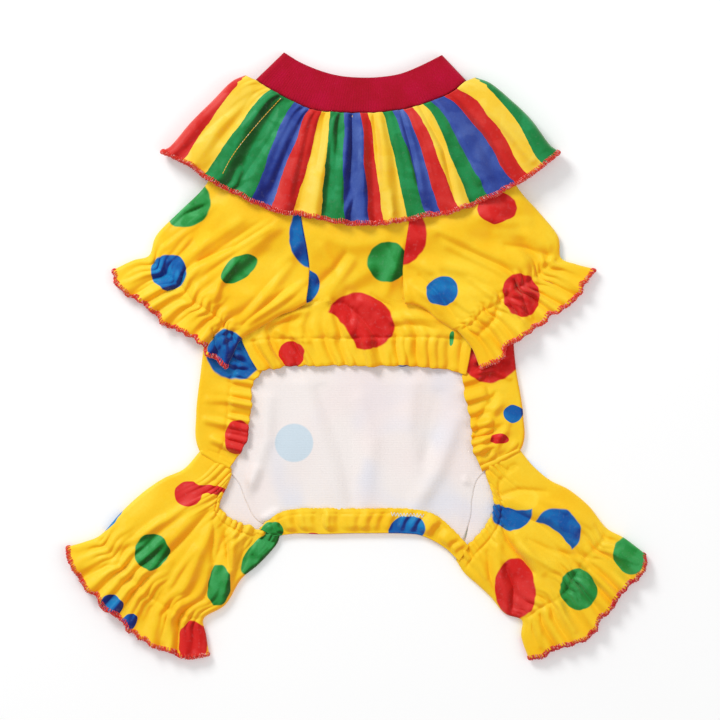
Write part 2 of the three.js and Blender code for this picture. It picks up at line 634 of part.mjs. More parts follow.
const STRIP_EDGES = [
  { at: 0.22, leftX: -90, leftY: -73.8, rightX: 84, rightY: -74.4 },
  { at: 0.27, leftX: -80.5, leftY: -60, rightX: 78.6, rightY: -62 },
  { at: 0.33, leftX: -77.7, leftY: -46, rightX: 78, rightY: -48 },
  { at: 0.4, leftX: -76, leftY: -30, rightX: 75, rightY: -32 },
  { at: 0.46, leftX: -74.6, leftY: -15, rightX: 72, rightY: -17 },
  { at: 0.5, leftX: -68.4, leftY: -7.5, rightX: 71.6, rightY: -9.5 },
  { at: 0.55, leftX: -75, leftY: 5, rightX: 73.4, rightY: 5 },
  { at: 0.59, leftX: -80, leftY: 16.5, rightX: 74.6, rightY: 17 },
  { at: 0.62, leftX: -84, leftY: 26, rightX: 78, rightY: 26 },
];
const STRIP_GATHERS = 8;
const STRIP_WAVE = 0.9;
const BACK_HEM = [
  [-54, -121],
  [-28, -122.5],
  [0, -121.8],
  [38.5, -122.5],
  [49, -126],
  [60, -132.6],
  [66.8, -139.7],
];

function backPanel() {
  const neck = edge([[-61.7, 180], ...shifted(NECK_SEAM.slice(3, -4), -SEAM - 0.7), [63.1, 180]]);
  const rail = (rows, side) => {
    const [x, y] = [column(rows, side + "X"), column(rows, side + "Y")];
    return (t) => [x(t), y(t)];
  };
  const [left, right] = [rail(BACK_SIDES, "left"), rail(BACK_SIDES, "right")];
  const strips = { left: rail(STRIP_EDGES, "left"), right: rail(STRIP_EDGES, "right") };
  const shape = layout(edge(BACK_HEM), neck, left, right);
  const radius = PITCH / 2;
  // v runs 0 to 1 across the flat back; -1 to 0 is the left strip from its elastic edge to the fold, and
  // 1 to 2 the right one from the fold to its elastic edge.
  const turn = 0.12;
  const surface = (v, t) => {
    const stripped = smooth(STRIP_START - 0.02, STRIP_START, t) * smooth(STRIP_END + 0.03, STRIP_END, t);
    const wide = Math.hypot(right(t)[0] - left(t)[0], right(t)[1] - left(t)[1]);
    const inset = (radius * stripped) / wide;
    if (v >= 0 && v <= 1) {
      const [x, y] = shape(mix(inset, 1 - inset, v), t);
      return new THREE.Vector3(x, y, backLevel(x, y));
    }
    const isLeft = v < 0;
    const out = isLeft ? -v : v - 1;
    const side = isLeft ? 0 : 1;
    const inward = isLeft ? 1 : -1;
    const place = (share) => shape(side + inward * share, t);
    if (out < turn) {
      const angle = (out / turn) * Math.PI - Math.PI / 2;
      const [x, y] = place(inset * (1 - Math.cos(angle)));
      return new THREE.Vector3(x, y, FLOOR + radius * (1 + Math.sin(angle)));
    }
    const q = (out - turn) / (1 - turn);
    const tip = (isLeft ? strips.left : strips.right)(t);
    const [a, b] = [place(inset), tip];
    const along = (t - STRIP_START) / (STRIP_END - STRIP_START);
    const gathered = smooth(0.3, 0.9, q) * smooth(0.85, 0.72, along) * smooth(0, 0.06, along);
    const rise = gathered * STRIP_WAVE * (1 + waves(along, STRIP_GATHERS, isLeft ? 0.2 : 1.4));
    return new THREE.Vector3(mix(a[0], b[0], q), mix(a[1], b[1], q), FLOOR + PITCH + rise);
  };
  const flat = [0, 0.1, 0.3, 0.5, 0.7, 0.9, 1];
  const side = [turn / 3, (2 * turn) / 3, turn, 0.45, 0.72, 1]; // the fold, then the strip
  const full = [...side.map((k) => -k).reverse(), 0, 0.2, 0.5, 0.8, 1, ...side.map((k) => 1 + k)];
  const rows = [0, 0.05, 0.09, 0.13, 0.17, 0.195].map((t) => ({ t, places: flat }));
  const count = 4 * STRIP_GATHERS - 6;
  for (let i = 0; i <= count; i += 1) {
    rows.push({ t: mix(STRIP_START, STRIP_END, i / count), places: full });
  }
  const above = Array.from({ length: 17 }, (_, i) => i / 16);
  rows.push(...[0.65, 0.675, 0.7, 0.725, 0.75, 0.775, 0.8, 0.825, 0.85, 0.9, 0.95, 1].map((t) => ({ t, places: above })));
  return wall("back_panel", 0xf5b90f, surface, rows, PLUSH, false);
}

// ---- rump hem: the back panel's lower edge turned up over its inside, with an elastic in it ----
const RUMP_TOP = [
  [-66, -113.4],
  [-60, -109],
  [-50, -105.2],
  [-35, -103.8],
  [0, -104.3],
  [23, -103.8],
  [45, -105.8],
  [58, -112],
  [66, -120],
  [72.5, -127],
];
const RUMP_FOLD = [
  [-56, -120.6],
  [-44, -121.6],
  [-28, -122],
  [0, -121.4],
  [38.5, -122],
  [49, -125.5],
  [60, -132],
  [66.2, -138.2],
];
const RUMP_GATHERS = 9;
const RUMP_WAVE = 0.35;

function rumpHem() {
  const [fold, top] = [edge(RUMP_FOLD), edge(RUMP_TOP)];
  const shape = layout(fold, top, straight(RUMP_FOLD[0], RUMP_TOP[0]), straight(RUMP_FOLD.at(-1), RUMP_TOP.at(-1)));
  const surface = (v, t) => {
    const [x, y] = shape(v, t);
    const rise = RUMP_WAVE * (1 + waves(clamp01(v), RUMP_GATHERS, 2)) * smooth(0, 0.4, t);
    return new THREE.Vector3(x, y, FLOOR + PLUSH + SEAM + rise);
  };
  const places = Array.from({ length: 4 * RUMP_GATHERS + 1 }, (_, i) => i / (4 * RUMP_GATHERS));
  const rows = [0, 0.5, 1].map((t) => ({ t, places }));
  return wall("rump_hem", 0xf5b90f, surface, rows, PLUSH, false);
}

// ---- the garment ----
const costume = new THREE.Group();
costume.add(
  backPanel(),
  rumpHem(),
  chestPanel(),
  limb(SLEEVE_LEFT, sleeveUnder),
  limb(SLEEVE_RIGHT, sleeveUnder),
  limb(LEG_LEFT, legUnder),
  limb(LEG_RIGHT, legUnder),
  ruffle(),
  neckBand(),
);

export default costume;
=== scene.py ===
"""Dog clown costume: a four-legged plush romper for a small dog, laid flat on its back, belly side up.

The tables hold millimetres, as the garment's patterns do. +X is to the right of the belly side, +Y towards
the neck and +Z up. Each piece is one cloth: a mid-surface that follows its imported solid, with the creases,
pleats and gathers of its own laid on it, then given its thickness.
"""

import logging
import math
import random
from collections.abc import Callable, Iterable, Sequence
from dataclasses import dataclass, replace
from enum import Enum

import bmesh
import bpy
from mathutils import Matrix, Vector, noise
from mathutils.bvhtree import BVHTree

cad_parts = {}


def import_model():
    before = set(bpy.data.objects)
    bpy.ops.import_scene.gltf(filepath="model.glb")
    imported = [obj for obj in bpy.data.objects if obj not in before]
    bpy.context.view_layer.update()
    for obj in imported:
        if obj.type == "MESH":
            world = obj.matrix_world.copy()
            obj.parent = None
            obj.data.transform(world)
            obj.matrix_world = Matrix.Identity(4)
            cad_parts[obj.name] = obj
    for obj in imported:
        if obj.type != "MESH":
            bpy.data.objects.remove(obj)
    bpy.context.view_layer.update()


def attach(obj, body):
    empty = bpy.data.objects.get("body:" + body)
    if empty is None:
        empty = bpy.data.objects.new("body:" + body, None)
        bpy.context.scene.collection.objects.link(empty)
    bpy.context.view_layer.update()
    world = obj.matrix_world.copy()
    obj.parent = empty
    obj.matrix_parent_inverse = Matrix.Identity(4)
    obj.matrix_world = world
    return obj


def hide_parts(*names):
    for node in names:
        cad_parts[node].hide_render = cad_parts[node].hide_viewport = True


LOG = logging.getLogger("clown_costume")

Point = tuple[float, float]
Row = dict[str, float]
Edge = Callable[[float], Point]
Level = Callable[[float, float], float]
Layout = Callable[[float, float], Point]
Place = Callable[[float, float], Vector]
Piece = bpy.types.Object

MM = 0.001
SQUARE = 0.7  # side of one square of the layout plan, mm
PLAN_MIDDLE = 360  # the plan's column and row that pass through the origin

PLUSH = 1.6  # thickness of the plush, pile included, mm
STRIPED = 1.4  # thickness of the ruffle's plush
RIB = 2.4  # thickness of the neck band's doubled knit
SEAM = 0.3  # room between two cloths at a seam
PITCH = 2.7  # height between the middles of two layers that lie on each other
FLOOR = PLUSH / 2  # middle of the plush that lies on the table
COLLAR_LIFT = 4.6  # how far the back climbs onto the ruffle's under half
COLLAR_RAMP = 28.0  # length of that climb
RUFFLE_DIP = 95.0  # lowest point of the ruffle's lower hem
RUFFLE_BOW = 0.00263  # bend of that hem, for each mm squared
STRIPES = 20  # whole stripes across the ruffle
TURN = 0.03  # share of the way round that each rounded side of a flattened tube takes
UNDER_SHIFT = 1.0  # how far a hidden layer's pattern lies from the shown one's, m
PLAN_UV = "plan"
STRIPE_UV = "stripe"


# ---- small mathematics ----
def mix(a: float, b: float, k: float) -> float:
    """Value a share k of the way from a to b."""
    return a + (b - a) * k


def clamp01(x: float) -> float:
    """x kept between 0 and 1."""
    return min(1.0, max(0.0, x))


def smooth(low: float, high: float, x: float) -> float:
    """Soft step from 0 at low to 1 at high."""
    k = clamp01((x - low) / (high - low))
    return k * k * (3 - 2 * k)


def bell(away: float, half: float) -> float:
    """Round hump, 1 in its middle and nearly nothing at twice its half width from there."""
    return math.exp(-((away / half) ** 2))


def within(x: float, margin: float) -> float:
    """1 well between 0 and 1, and softly 0 at both ends."""
    return smooth(0.0, margin, x) * smooth(1.0, 1.0 - margin, x)


def plan(column: float, row: float) -> Point:
    """Point of the layout plan, in mm from the origin."""
    return (column - PLAN_MIDDLE) * SQUARE, (PLAN_MIDDLE - row) * SQUARE


def squares(x: float, y: float) -> Point:
    """Column and row of the layout plan, from mm."""
    return x / SQUARE + PLAN_MIDDLE, PLAN_MIDDLE - y / SQUARE


def linear(red: int, green: int, blue: int) -> tuple[float, float, float, float]:
    """Dye mixed on a screen, 0 to 255, as a linear colour."""
    return tuple(pow((c / 255 + 0.055) / 1.055, 2.4) if c > 10 else c / 3295 for c in (red, green, blue)) + (1.0,)


def column_of(rows: Sequence[Row], key: str) -> Callable[[float], float]:
    """Smooth reader of one column of a table, at a station of its column "at".

    Args:
        rows: the table's rows, in order of "at".
        key: the column to read.

    Returns:
        A function of the station.
    """
    count = len(rows)
    stations = [row["at"] for row in rows]
    values = [row[key] for row in rows]
    slopes = []
    for i in range(count):
        a, b = max(0, i - 1), min(count - 1, i + 1)
        slopes.append((values[b] - values[a]) / (stations[b] - stations[a]))

    def read(at: float) -> float:
        """Value at a station."""
        i = 0
        while i < count - 2 and at > stations[i + 1]:
            i += 1
        span = stations[i + 1] - stations[i]
        k = clamp01((at - stations[i]) / span)
        k2, k3 = k * k, k * k * k
        return (
            (2 * k3 - 3 * k2 + 1) * values[i]
            + (k3 - 2 * k2 + k) * span * slopes[i]
            + (3 * k2 - 2 * k3) * values[i + 1]
            + (k3 - k2) * span * slopes[i + 1]
        )

    return read


def edge_of(points: Sequence[Point]) -> Edge:
    """Smooth edge of a cut through a few points, as a function of the share of its length.

    Args:
        points: the edge's points, mm.

    Returns:
        A function of the share from 0 to 1.
    """
    rows = [{"at": 0.0, "x": x, "y": y} for x, y in points]
    for a, b in zip(rows, rows[1:]):
        b["at"] = a["at"] + math.hypot(b["x"] - a["x"], b["y"] - a["y"])
    length = rows[-1]["at"]
    for row in rows:
        row["at"] /= length
    x, y = column_of(rows, "x"), column_of(rows, "y")
    return lambda share: (x(share), y(share))


def layout(start: Edge, finish: Edge, rail_a: Edge, rail_b: Edge, fade: float = 1.0) -> Layout:
    """Flat layout of a cut between two edges and the two rails that join their ends.

    Args:
        start: edge at t = 0.
        finish: edge at t = 1.
        rail_a: side at s = 0.
        rail_b: side at s = 1.
        fade: how fast each edge's own bow dies away.

    Returns:
        A function of s and t that gives the flat point.
    """

    def place(s: float, t: float) -> Point:
        """Flat point at share s across and t down."""
        k = clamp01(s)
        ends = (start(0), start(1), finish(0), finish(1))
        at_start, at_finish, a, b = start(k), finish(k), rail_a(t), rail_b(t)
        out = []
        for i in (0, 1):
            bow = (at_start[i] - mix(ends[0][i], ends[1][i], k)) * (1 - t) ** fade
            bow += (at_finish[i] - mix(ends[2][i], ends[3][i], k)) * t**fade
            out.append(mix(a[i], b[i], s) + bow)
        return out[0], out[1]

    return place


def ruffle_line(x: float) -> float:
    """Height up the plan of the ruffle's lower hem."""
    return RUFFLE_DIP + RUFFLE_BOW * x * x


def back_level(x: float, y: float) -> float:
    """Height of the back panel's mid-surface, which climbs onto the ruffle's under half."""
    top = ruffle_line(x) - 9
    return FLOOR + COLLAR_LIFT * smooth(top - COLLAR_RAMP, top, y)


def waves(s: float, count: float, shift: float) -> float:
    """Uneven waves along a gathered edge, from -1 to 1."""
    return math.sin(2 * math.pi * (count * s + 0.25 * math.sin(4 * math.pi * s + shift)) + shift)


@dataclass(frozen=True)
class Crease:
    """One soft ridge (high above 0) or trough (below 0) along a bent line of the layout plan.

    The points are columns and rows of the plan; wide and high are mm.
    """

    points: tuple[Point, ...]
    wide: float
    high: float

    def reader(self) -> Level:
        """Height of this crease as a function of the place, mm."""
        line = [plan(*p) for p in self.points]
        lengths = [math.dist(a, b) for a, b in zip(line, line[1:])]
        total = sum(lengths)
        reach = 2.6 * self.wide
        x_low, x_high = min(p[0] for p in line) - reach, max(p[0] for p in line) + reach
        y_low, y_high = min(p[1] for p in line) - reach, max(p[1] for p in line) + reach

        def height(x: float, y: float) -> float:
            """Height at a point of the layout."""
            if not (x_low < x < x_high and y_low < y < y_high):
                return 0.0
            best, share, gone = 1e9, 0.0, 0.0
            for (ax, ay), (bx, by), length in zip(line, line[1:], lengths):
                k = clamp01(((x - ax) * (bx - ax) + (y - ay) * (by - ay)) / (length * length))
                away = math.hypot(x - mix(ax, bx, k), y - mix(ay, by, k))
                if away < best:
                    best, share = away, (gone + k * length) / total
                gone += length
            if best > reach:
                return 0.0
            return self.high * bell(best, self.wide) * (0.35 + 0.65 * math.sin(math.pi * clamp01(0.12 + 0.76 * share)))

        return height


def creases_of(*rows: Sequence[float]) -> tuple[Crease, ...]:
    """Creases from rows that hold a width, a height and then the columns and rows of the line's points."""
    return tuple(Crease(tuple(zip(row[2::2], row[3::2])), row[0], row[1]) for row in rows)


class Relief:
    """All the creases of one piece, read together."""

    def __init__(self, creases: Iterable[Crease]) -> None:
        """Readies the creases for reading."""
        self.readers = [crease.reader() for crease in creases]

    def at(self, x: float, y: float) -> float:
        """Height of the creases at a point of the layout, mm."""
        return sum(read(x, y) for read in self.readers)


class Gathers:
    """Uneven pleats along a drawn-up edge, each with its own place, width and height."""

    STEPS = 1600

    def __init__(self, count: int, seed: int, sharp: float = 1.6, full: float = 0.37) -> None:
        """Places the pleats.

        Args:
            count: number of pleats along the edge.
            seed: start of the draw, so that every run gives the same pleats.
            sharp: how flat the crests are against the valleys.
            full: mean half width of a pleat against the room that it has.
        """
        draw = random.Random(seed)
        pleats = []
        for i in range(count):
            centre = (i + 0.5 + draw.uniform(-0.36, 0.36)) / count
            pleats.append((centre, full * draw.uniform(0.68, 1.32) / count, draw.uniform(0.4, 1.0)))
        self.heights = []
        for k in range(self.STEPS + 1):
            s = k / self.STEPS
            near = (h * math.exp(-(abs((s - c) / w) ** sharp)) for c, w, h in pleats if abs(s - c) < 4 * w)
            self.heights.append(min(1.15, sum(near)))

    def at(self, s: float) -> float:
        """Height at a share of the edge, about 0 to 1."""
        place = clamp01(s) * self.STEPS
        i = min(self.STEPS - 1, int(place))
        return mix(self.heights[i], self.heights[i + 1], place - i)


def wander(x: float, y: float, size: float, seed: float) -> float:
    """Slow unevenness of lying cloth, from about -1 to 1, with bumps as wide as size in mm."""
    return noise.noise(Vector((x / size, y / size, seed)))


# ---- finishes ----
class Dye(Enum):
    """Printing colours of the cloth and of its threads."""

    YELLOW = linear(252, 205, 34)
    RED = linear(216, 30, 28)
    BLUE = linear(0, 96, 172)
    GREEN = linear(38, 146, 66)
    STRIPE_YELLOW = linear(247, 205, 58)
    STRIPE_RED = linear(206, 33, 28)
    STRIPE_BLUE = linear(52, 78, 160)
    STRIPE_GREEN = linear(14, 128, 62)
    CRIMSON = linear(178, 0, 40)
    WRONG_SIDE = linear(246, 238, 235)
    THREAD_RED = linear(236, 58, 44)
    THREAD_CRIMSON = linear(214, 32, 46)
    THREAD_GOLD = linear(236, 182, 60)
    THREAD_WHITE = linear(220, 225, 226)


Socket = bpy.types.NodeSocket
Colour = tuple[float, float, float, float]


class Wiring:
    """Lays nodes out in one material or group and joins them."""

    def __init__(self, tree: bpy.types.NodeTree, material: bpy.types.Material | None = None) -> None:
        """Works in the given tree, which may be a material's."""
        self.tree = tree
        self.material = material
        self.placed = 0

    def node(self, kind: str, inputs: dict[str | int, object] | None = None, **settings: object) -> bpy.types.Node:
        """Adds one node.

        Args:
            kind: the node's type without its "ShaderNode".
            inputs: what goes into its sockets, either values or sockets to join.
            settings: the node's own settings.

        Returns:
            The node.
        """
        made = self.tree.nodes.new("ShaderNode" + kind if not kind.startswith("NodeGroup") else kind)
        made.location = (180 * (self.placed % 12), -220 * (self.placed // 12))
        self.placed += 1
        for key, value in settings.items():
            setattr(made, key, value)
        for key, value in (inputs or {}).items():
            if isinstance(value, bpy.types.NodeSocket):
                self.tree.links.new(value, made.inputs[key])
            else:
                made.inputs[key].default_value = value
        return made

    def math(self, operation: str, a: object, b: object) -> Socket:
        """Result of one sum on two values or sockets."""
        return self.node("Math", {0: a, 1: b}, operation=operation).outputs[0]

    def add(self, a: object, b: object) -> Socket:
        """Sum of two values or sockets."""
        return self.math("ADD", a, b)

    def less(self, a: object, b: object) -> Socket:
        """The first value or socket less the second."""
        return self.math("SUBTRACT", a, b)

    def times(self, a: object, b: object) -> Socket:
        """Product of two values or sockets."""
        return self.math("MULTIPLY", a, b)

    def vector(self, operation: str, a: object, b: object) -> bpy.types.Node:
        """Node that works on two vectors."""
        return self.node("VectorMath", {0: a, 1: b}, operation=operation)

    def length(self, vector: Socket) -> Socket:
        """Length of a vector on the plan, whose third coordinate doesn't count."""
        flat = self.vector("MULTIPLY", vector, (1.0, 1.0, 0.0)).outputs[0]
        return self.node("VectorMath", {0: flat}, operation="LENGTH").outputs["Value"]

    def give(self, socket: Socket, value: Socket) -> None:
        """Joins a result to a shader's or a group's socket."""
        self.tree.links.new(value, socket)

    def noise(self, vector: Socket, scale: float, detail: float = 2.0, distortion: float = 0.0) -> Socket:
        """Value of a noise, about 0.3 to 0.7 with its middle at 0.5."""
        given = {"Vector": vector, "Scale": scale, "Detail": detail, "Distortion": distortion}
        return self.node("TexNoise", given).outputs["Fac"]

    def span(self, value: Socket, low: float, high: float, to_low: float = 0.0, to_high: float = 1.0) -> Socket:
        """Soft step of a value from one range to another."""
        given = {"Value": value, "From Min": low, "From Max": high, "To Min": to_low, "To Max": to_high}
        return self.node("MapRange", given, interpolation_type="SMOOTHSTEP").outputs["Result"]

    def blend(self, factor: object, a: object, b: object) -> Socket:
        """Colour between two colours."""
        return self.node("Mix", {0: factor, 6: a, 7: b}, data_type="RGBA").outputs[2]


def new_group(name: str, takes: dict[str, str], gives: dict[str, str]) -> tuple[Wiring, dict, dict]:
    """Starts a shader node group.

    Args:
        name: the group's name.
        takes: name and kind of each input.
        gives: name and kind of each output.

    Returns:
        The group's wiring, its inputs inside and its outputs inside.
    """
    tree = bpy.data.node_groups.new(name, "ShaderNodeTree")
    for direction, sockets in (("INPUT", takes), ("OUTPUT", gives)):
        for key, kind in sockets.items():
            tree.interface.new_socket(name=key, in_out=direction, socket_type="NodeSocket" + kind)
    wiring = Wiring(tree)
    entry = wiring.node("NodeGroupInput")
    leave = wiring.node("NodeGroupOutput")
    return wiring, entry.outputs, leave.inputs


def pile_group() -> bpy.types.NodeTree:
    """Short velour pile, with painted shade where the surface turns away from the key light and painted light where it
    faces it, soft pressed patches, pale painted sheen streaks and a fine nap.

    Turned_from_light is how far the surface turns away from the key light. Crush_and_shade is how strongly the pile
    shows the pressed patches, and it also strengthens the painted shade and the painted sheen.
    """
    w, given, out = new_group(
        "velour_pile",
        {"Vector": "Vector", "Colour": "Color", "Crush_and_shade": "Float", "Turned_from_light": "Float"},
        {"Colour": "Color", "Roughness": "Float", "Height": "Float"},
    )
    at = given["Vector"]
    patch = w.span(w.noise(at, 38.0, 1.0, 0.3), 0.34, 0.68)
    facet = w.span(w.noise(at, 85.0, 1.0, 0.5), 0.42, 0.62)
    nap = w.noise(at, 1500.0, 1.0)
    clump = w.noise(at, 420.0, 2.0, 0.3)
    # Painted shade: the colour deepens where the surface turns away from the key light.
    painted_shade = w.times(w.span(given["Turned_from_light"], 0.02, 0.6), w.add(w.times(given["Crush_and_shade"], 0.35), 0.75))
    # Painted light: lift lightens the colour where the surface faces the key light.
    lift = w.times(w.span(given["Turned_from_light"], -0.05, -0.6), 0.16)
    # deep holds the random patches together with the painted shade and painted light.
    deep = w.add(w.times(patch, 0.13), w.less(painted_shade, lift))
    pressed = w.times(w.less(facet, 0.5), w.times(given["Crush_and_shade"], 0.2))
    power = w.add(w.add(0.92, deep), pressed)
    power = w.add(power, w.times(w.less(clump, 0.5), 0.2))
    power = w.add(power, w.times(w.less(nap, 0.5), 0.16))
    coloured = w.node("Gamma", {"Color": given["Colour"], "Gamma": power}).outputs[0]
    # Painted sheen: pale streaks mixed into the colour on a noise, stronger where Crush_and_shade is high.
    painted_sheen = w.times(w.span(clump, 0.52, 0.8), w.times(given["Crush_and_shade"], 0.04))
    w.give(out["Colour"], w.blend(painted_sheen, coloured, (0.8, 0.85, 0.9, 1.0)))
    w.give(out["Roughness"], w.span(facet, 0.0, 1.0, 0.5, 0.72))
    rise = w.add(w.times(nap, 0.5), w.times(clump, 0.7))
    w.give(out["Height"], rise)
    return w.tree


def dot_group() -> bpy.types.NodeTree:
    """One printed dot, an ellipse with a slightly bled edge, over the colour that it is printed on."""
    w, given, out = new_group(
        "printed_dot",
        {"Vector": "Vector", "Centre": "Vector", "Turn": "Float", "Size": "Vector"}
        | {"Ground": "Color", "Dye": "Color", "Ink": "Float", "Dark": "Float"},
        {"Colour": "Color", "Ink": "Float"},
    )
    offset = w.vector("SUBTRACT", given["Vector"], given["Centre"]).outputs[0]
    turned = w.node("VectorRotate", {"Vector": offset, "Angle": given["Turn"]}, rotation_type="Z_AXIS").outputs[0]
    scaled = w.vector("DIVIDE", turned, given["Size"]).outputs[0]
    inside = w.span(w.length(scaled), 1.03, 0.96)
    w.give(out["Colour"], w.blend(inside, given["Ground"], given["Dye"]))
    kept = w.times(given["Ink"], w.less(1.0, inside))
    w.give(out["Ink"], w.add(kept, w.times(inside, given["Dark"])))
    return w.tree


def wrong_side_group() -> bpy.types.NodeTree:
    """Knitted back of the plush: pinkish white with the print faintly through it."""
    w, given, out = new_group("knit_back", {"Vector": "Vector"}, {"Colour": "Color", "Height": "Float"})
    at = given["Vector"]
    through = w.span(w.noise(at, 24.0, 1.0, 0.4), 0.44, 0.7)
    tint = w.blend(w.times(through, 0.7), Dye.WRONG_SIDE.value, linear(228, 229, 240))
    warm = w.span(w.noise(at, 17.0, 1.0), 0.4, 0.7)
    tint = w.blend(w.times(warm, 0.6), tint, linear(248, 231, 228))
    courses = w.node("TexWave", {"Vector": at, "Scale": 260.0, "Distortion": 1.0, "Detail": 1.0}, bands_direction="Y")
    wales = w.node("TexWave", {"Vector": at, "Scale": 340.0, "Distortion": 0.6, "Detail": 1.0}, bands_direction="X")
    knit = w.add(courses.outputs["Fac"], wales.outputs["Fac"])
    w.give(out["Colour"], tint)
    w.give(out["Height"], w.add(w.times(knit, 0.4), w.noise(at, 900.0)))
    return w.tree


def thread_group() -> bpy.types.NodeTree:
    """Twisted sewing thread, with lighter plies and pale flecks of painted highlight."""
    w, given, out = new_group(
        "sewing_thread",
        {"Vector": "Vector", "Colour": "Color", "Highlight": "Color"},
        {"Colour": "Color", "Height": "Float"},
    )
    at = given["Vector"]
    ply = w.noise(at, 1900.0, 1.0)
    # Painted highlights: pale flecks on a noise, mixed over the thread's colour.
    thread_highlight = w.span(w.noise(at, 620.0, 2.0, 0.5), 0.52, 0.66)
    shade = w.node("Gamma", {"Color": given["Colour"], "Gamma": w.span(ply, 0.3, 0.7, 0.85, 1.25)}).outputs[0]
    w.give(out["Colour"], w.blend(w.times(thread_highlight, 0.6), shade, given["Highlight"]))
    w.give(out["Height"], ply)
    return w.tree


@dataclass(frozen=True)
class Dot:
    """One dot of the print: its dye, its middle on the plan, its half width and height in squares, and its turn."""

    dye: Dye
    column: float
    row: float
    half_wide: float
    half_high: float
    turn: float = 0.0
    hidden: bool = False

    def centre(self) -> tuple[float, float, float]:
        """Middle of the dot in the pattern's own coordinates, m."""
        x, y = plan(self.column, self.row)
        return x * MM, y * MM + (UNDER_SHIFT if self.hidden else 0.0), 0.0

    def size(self) -> tuple[float, float, float]:
        """Half width and half height, m."""
        return self.half_wide * SQUARE * MM, self.half_high * SQUARE * MM, 1.0


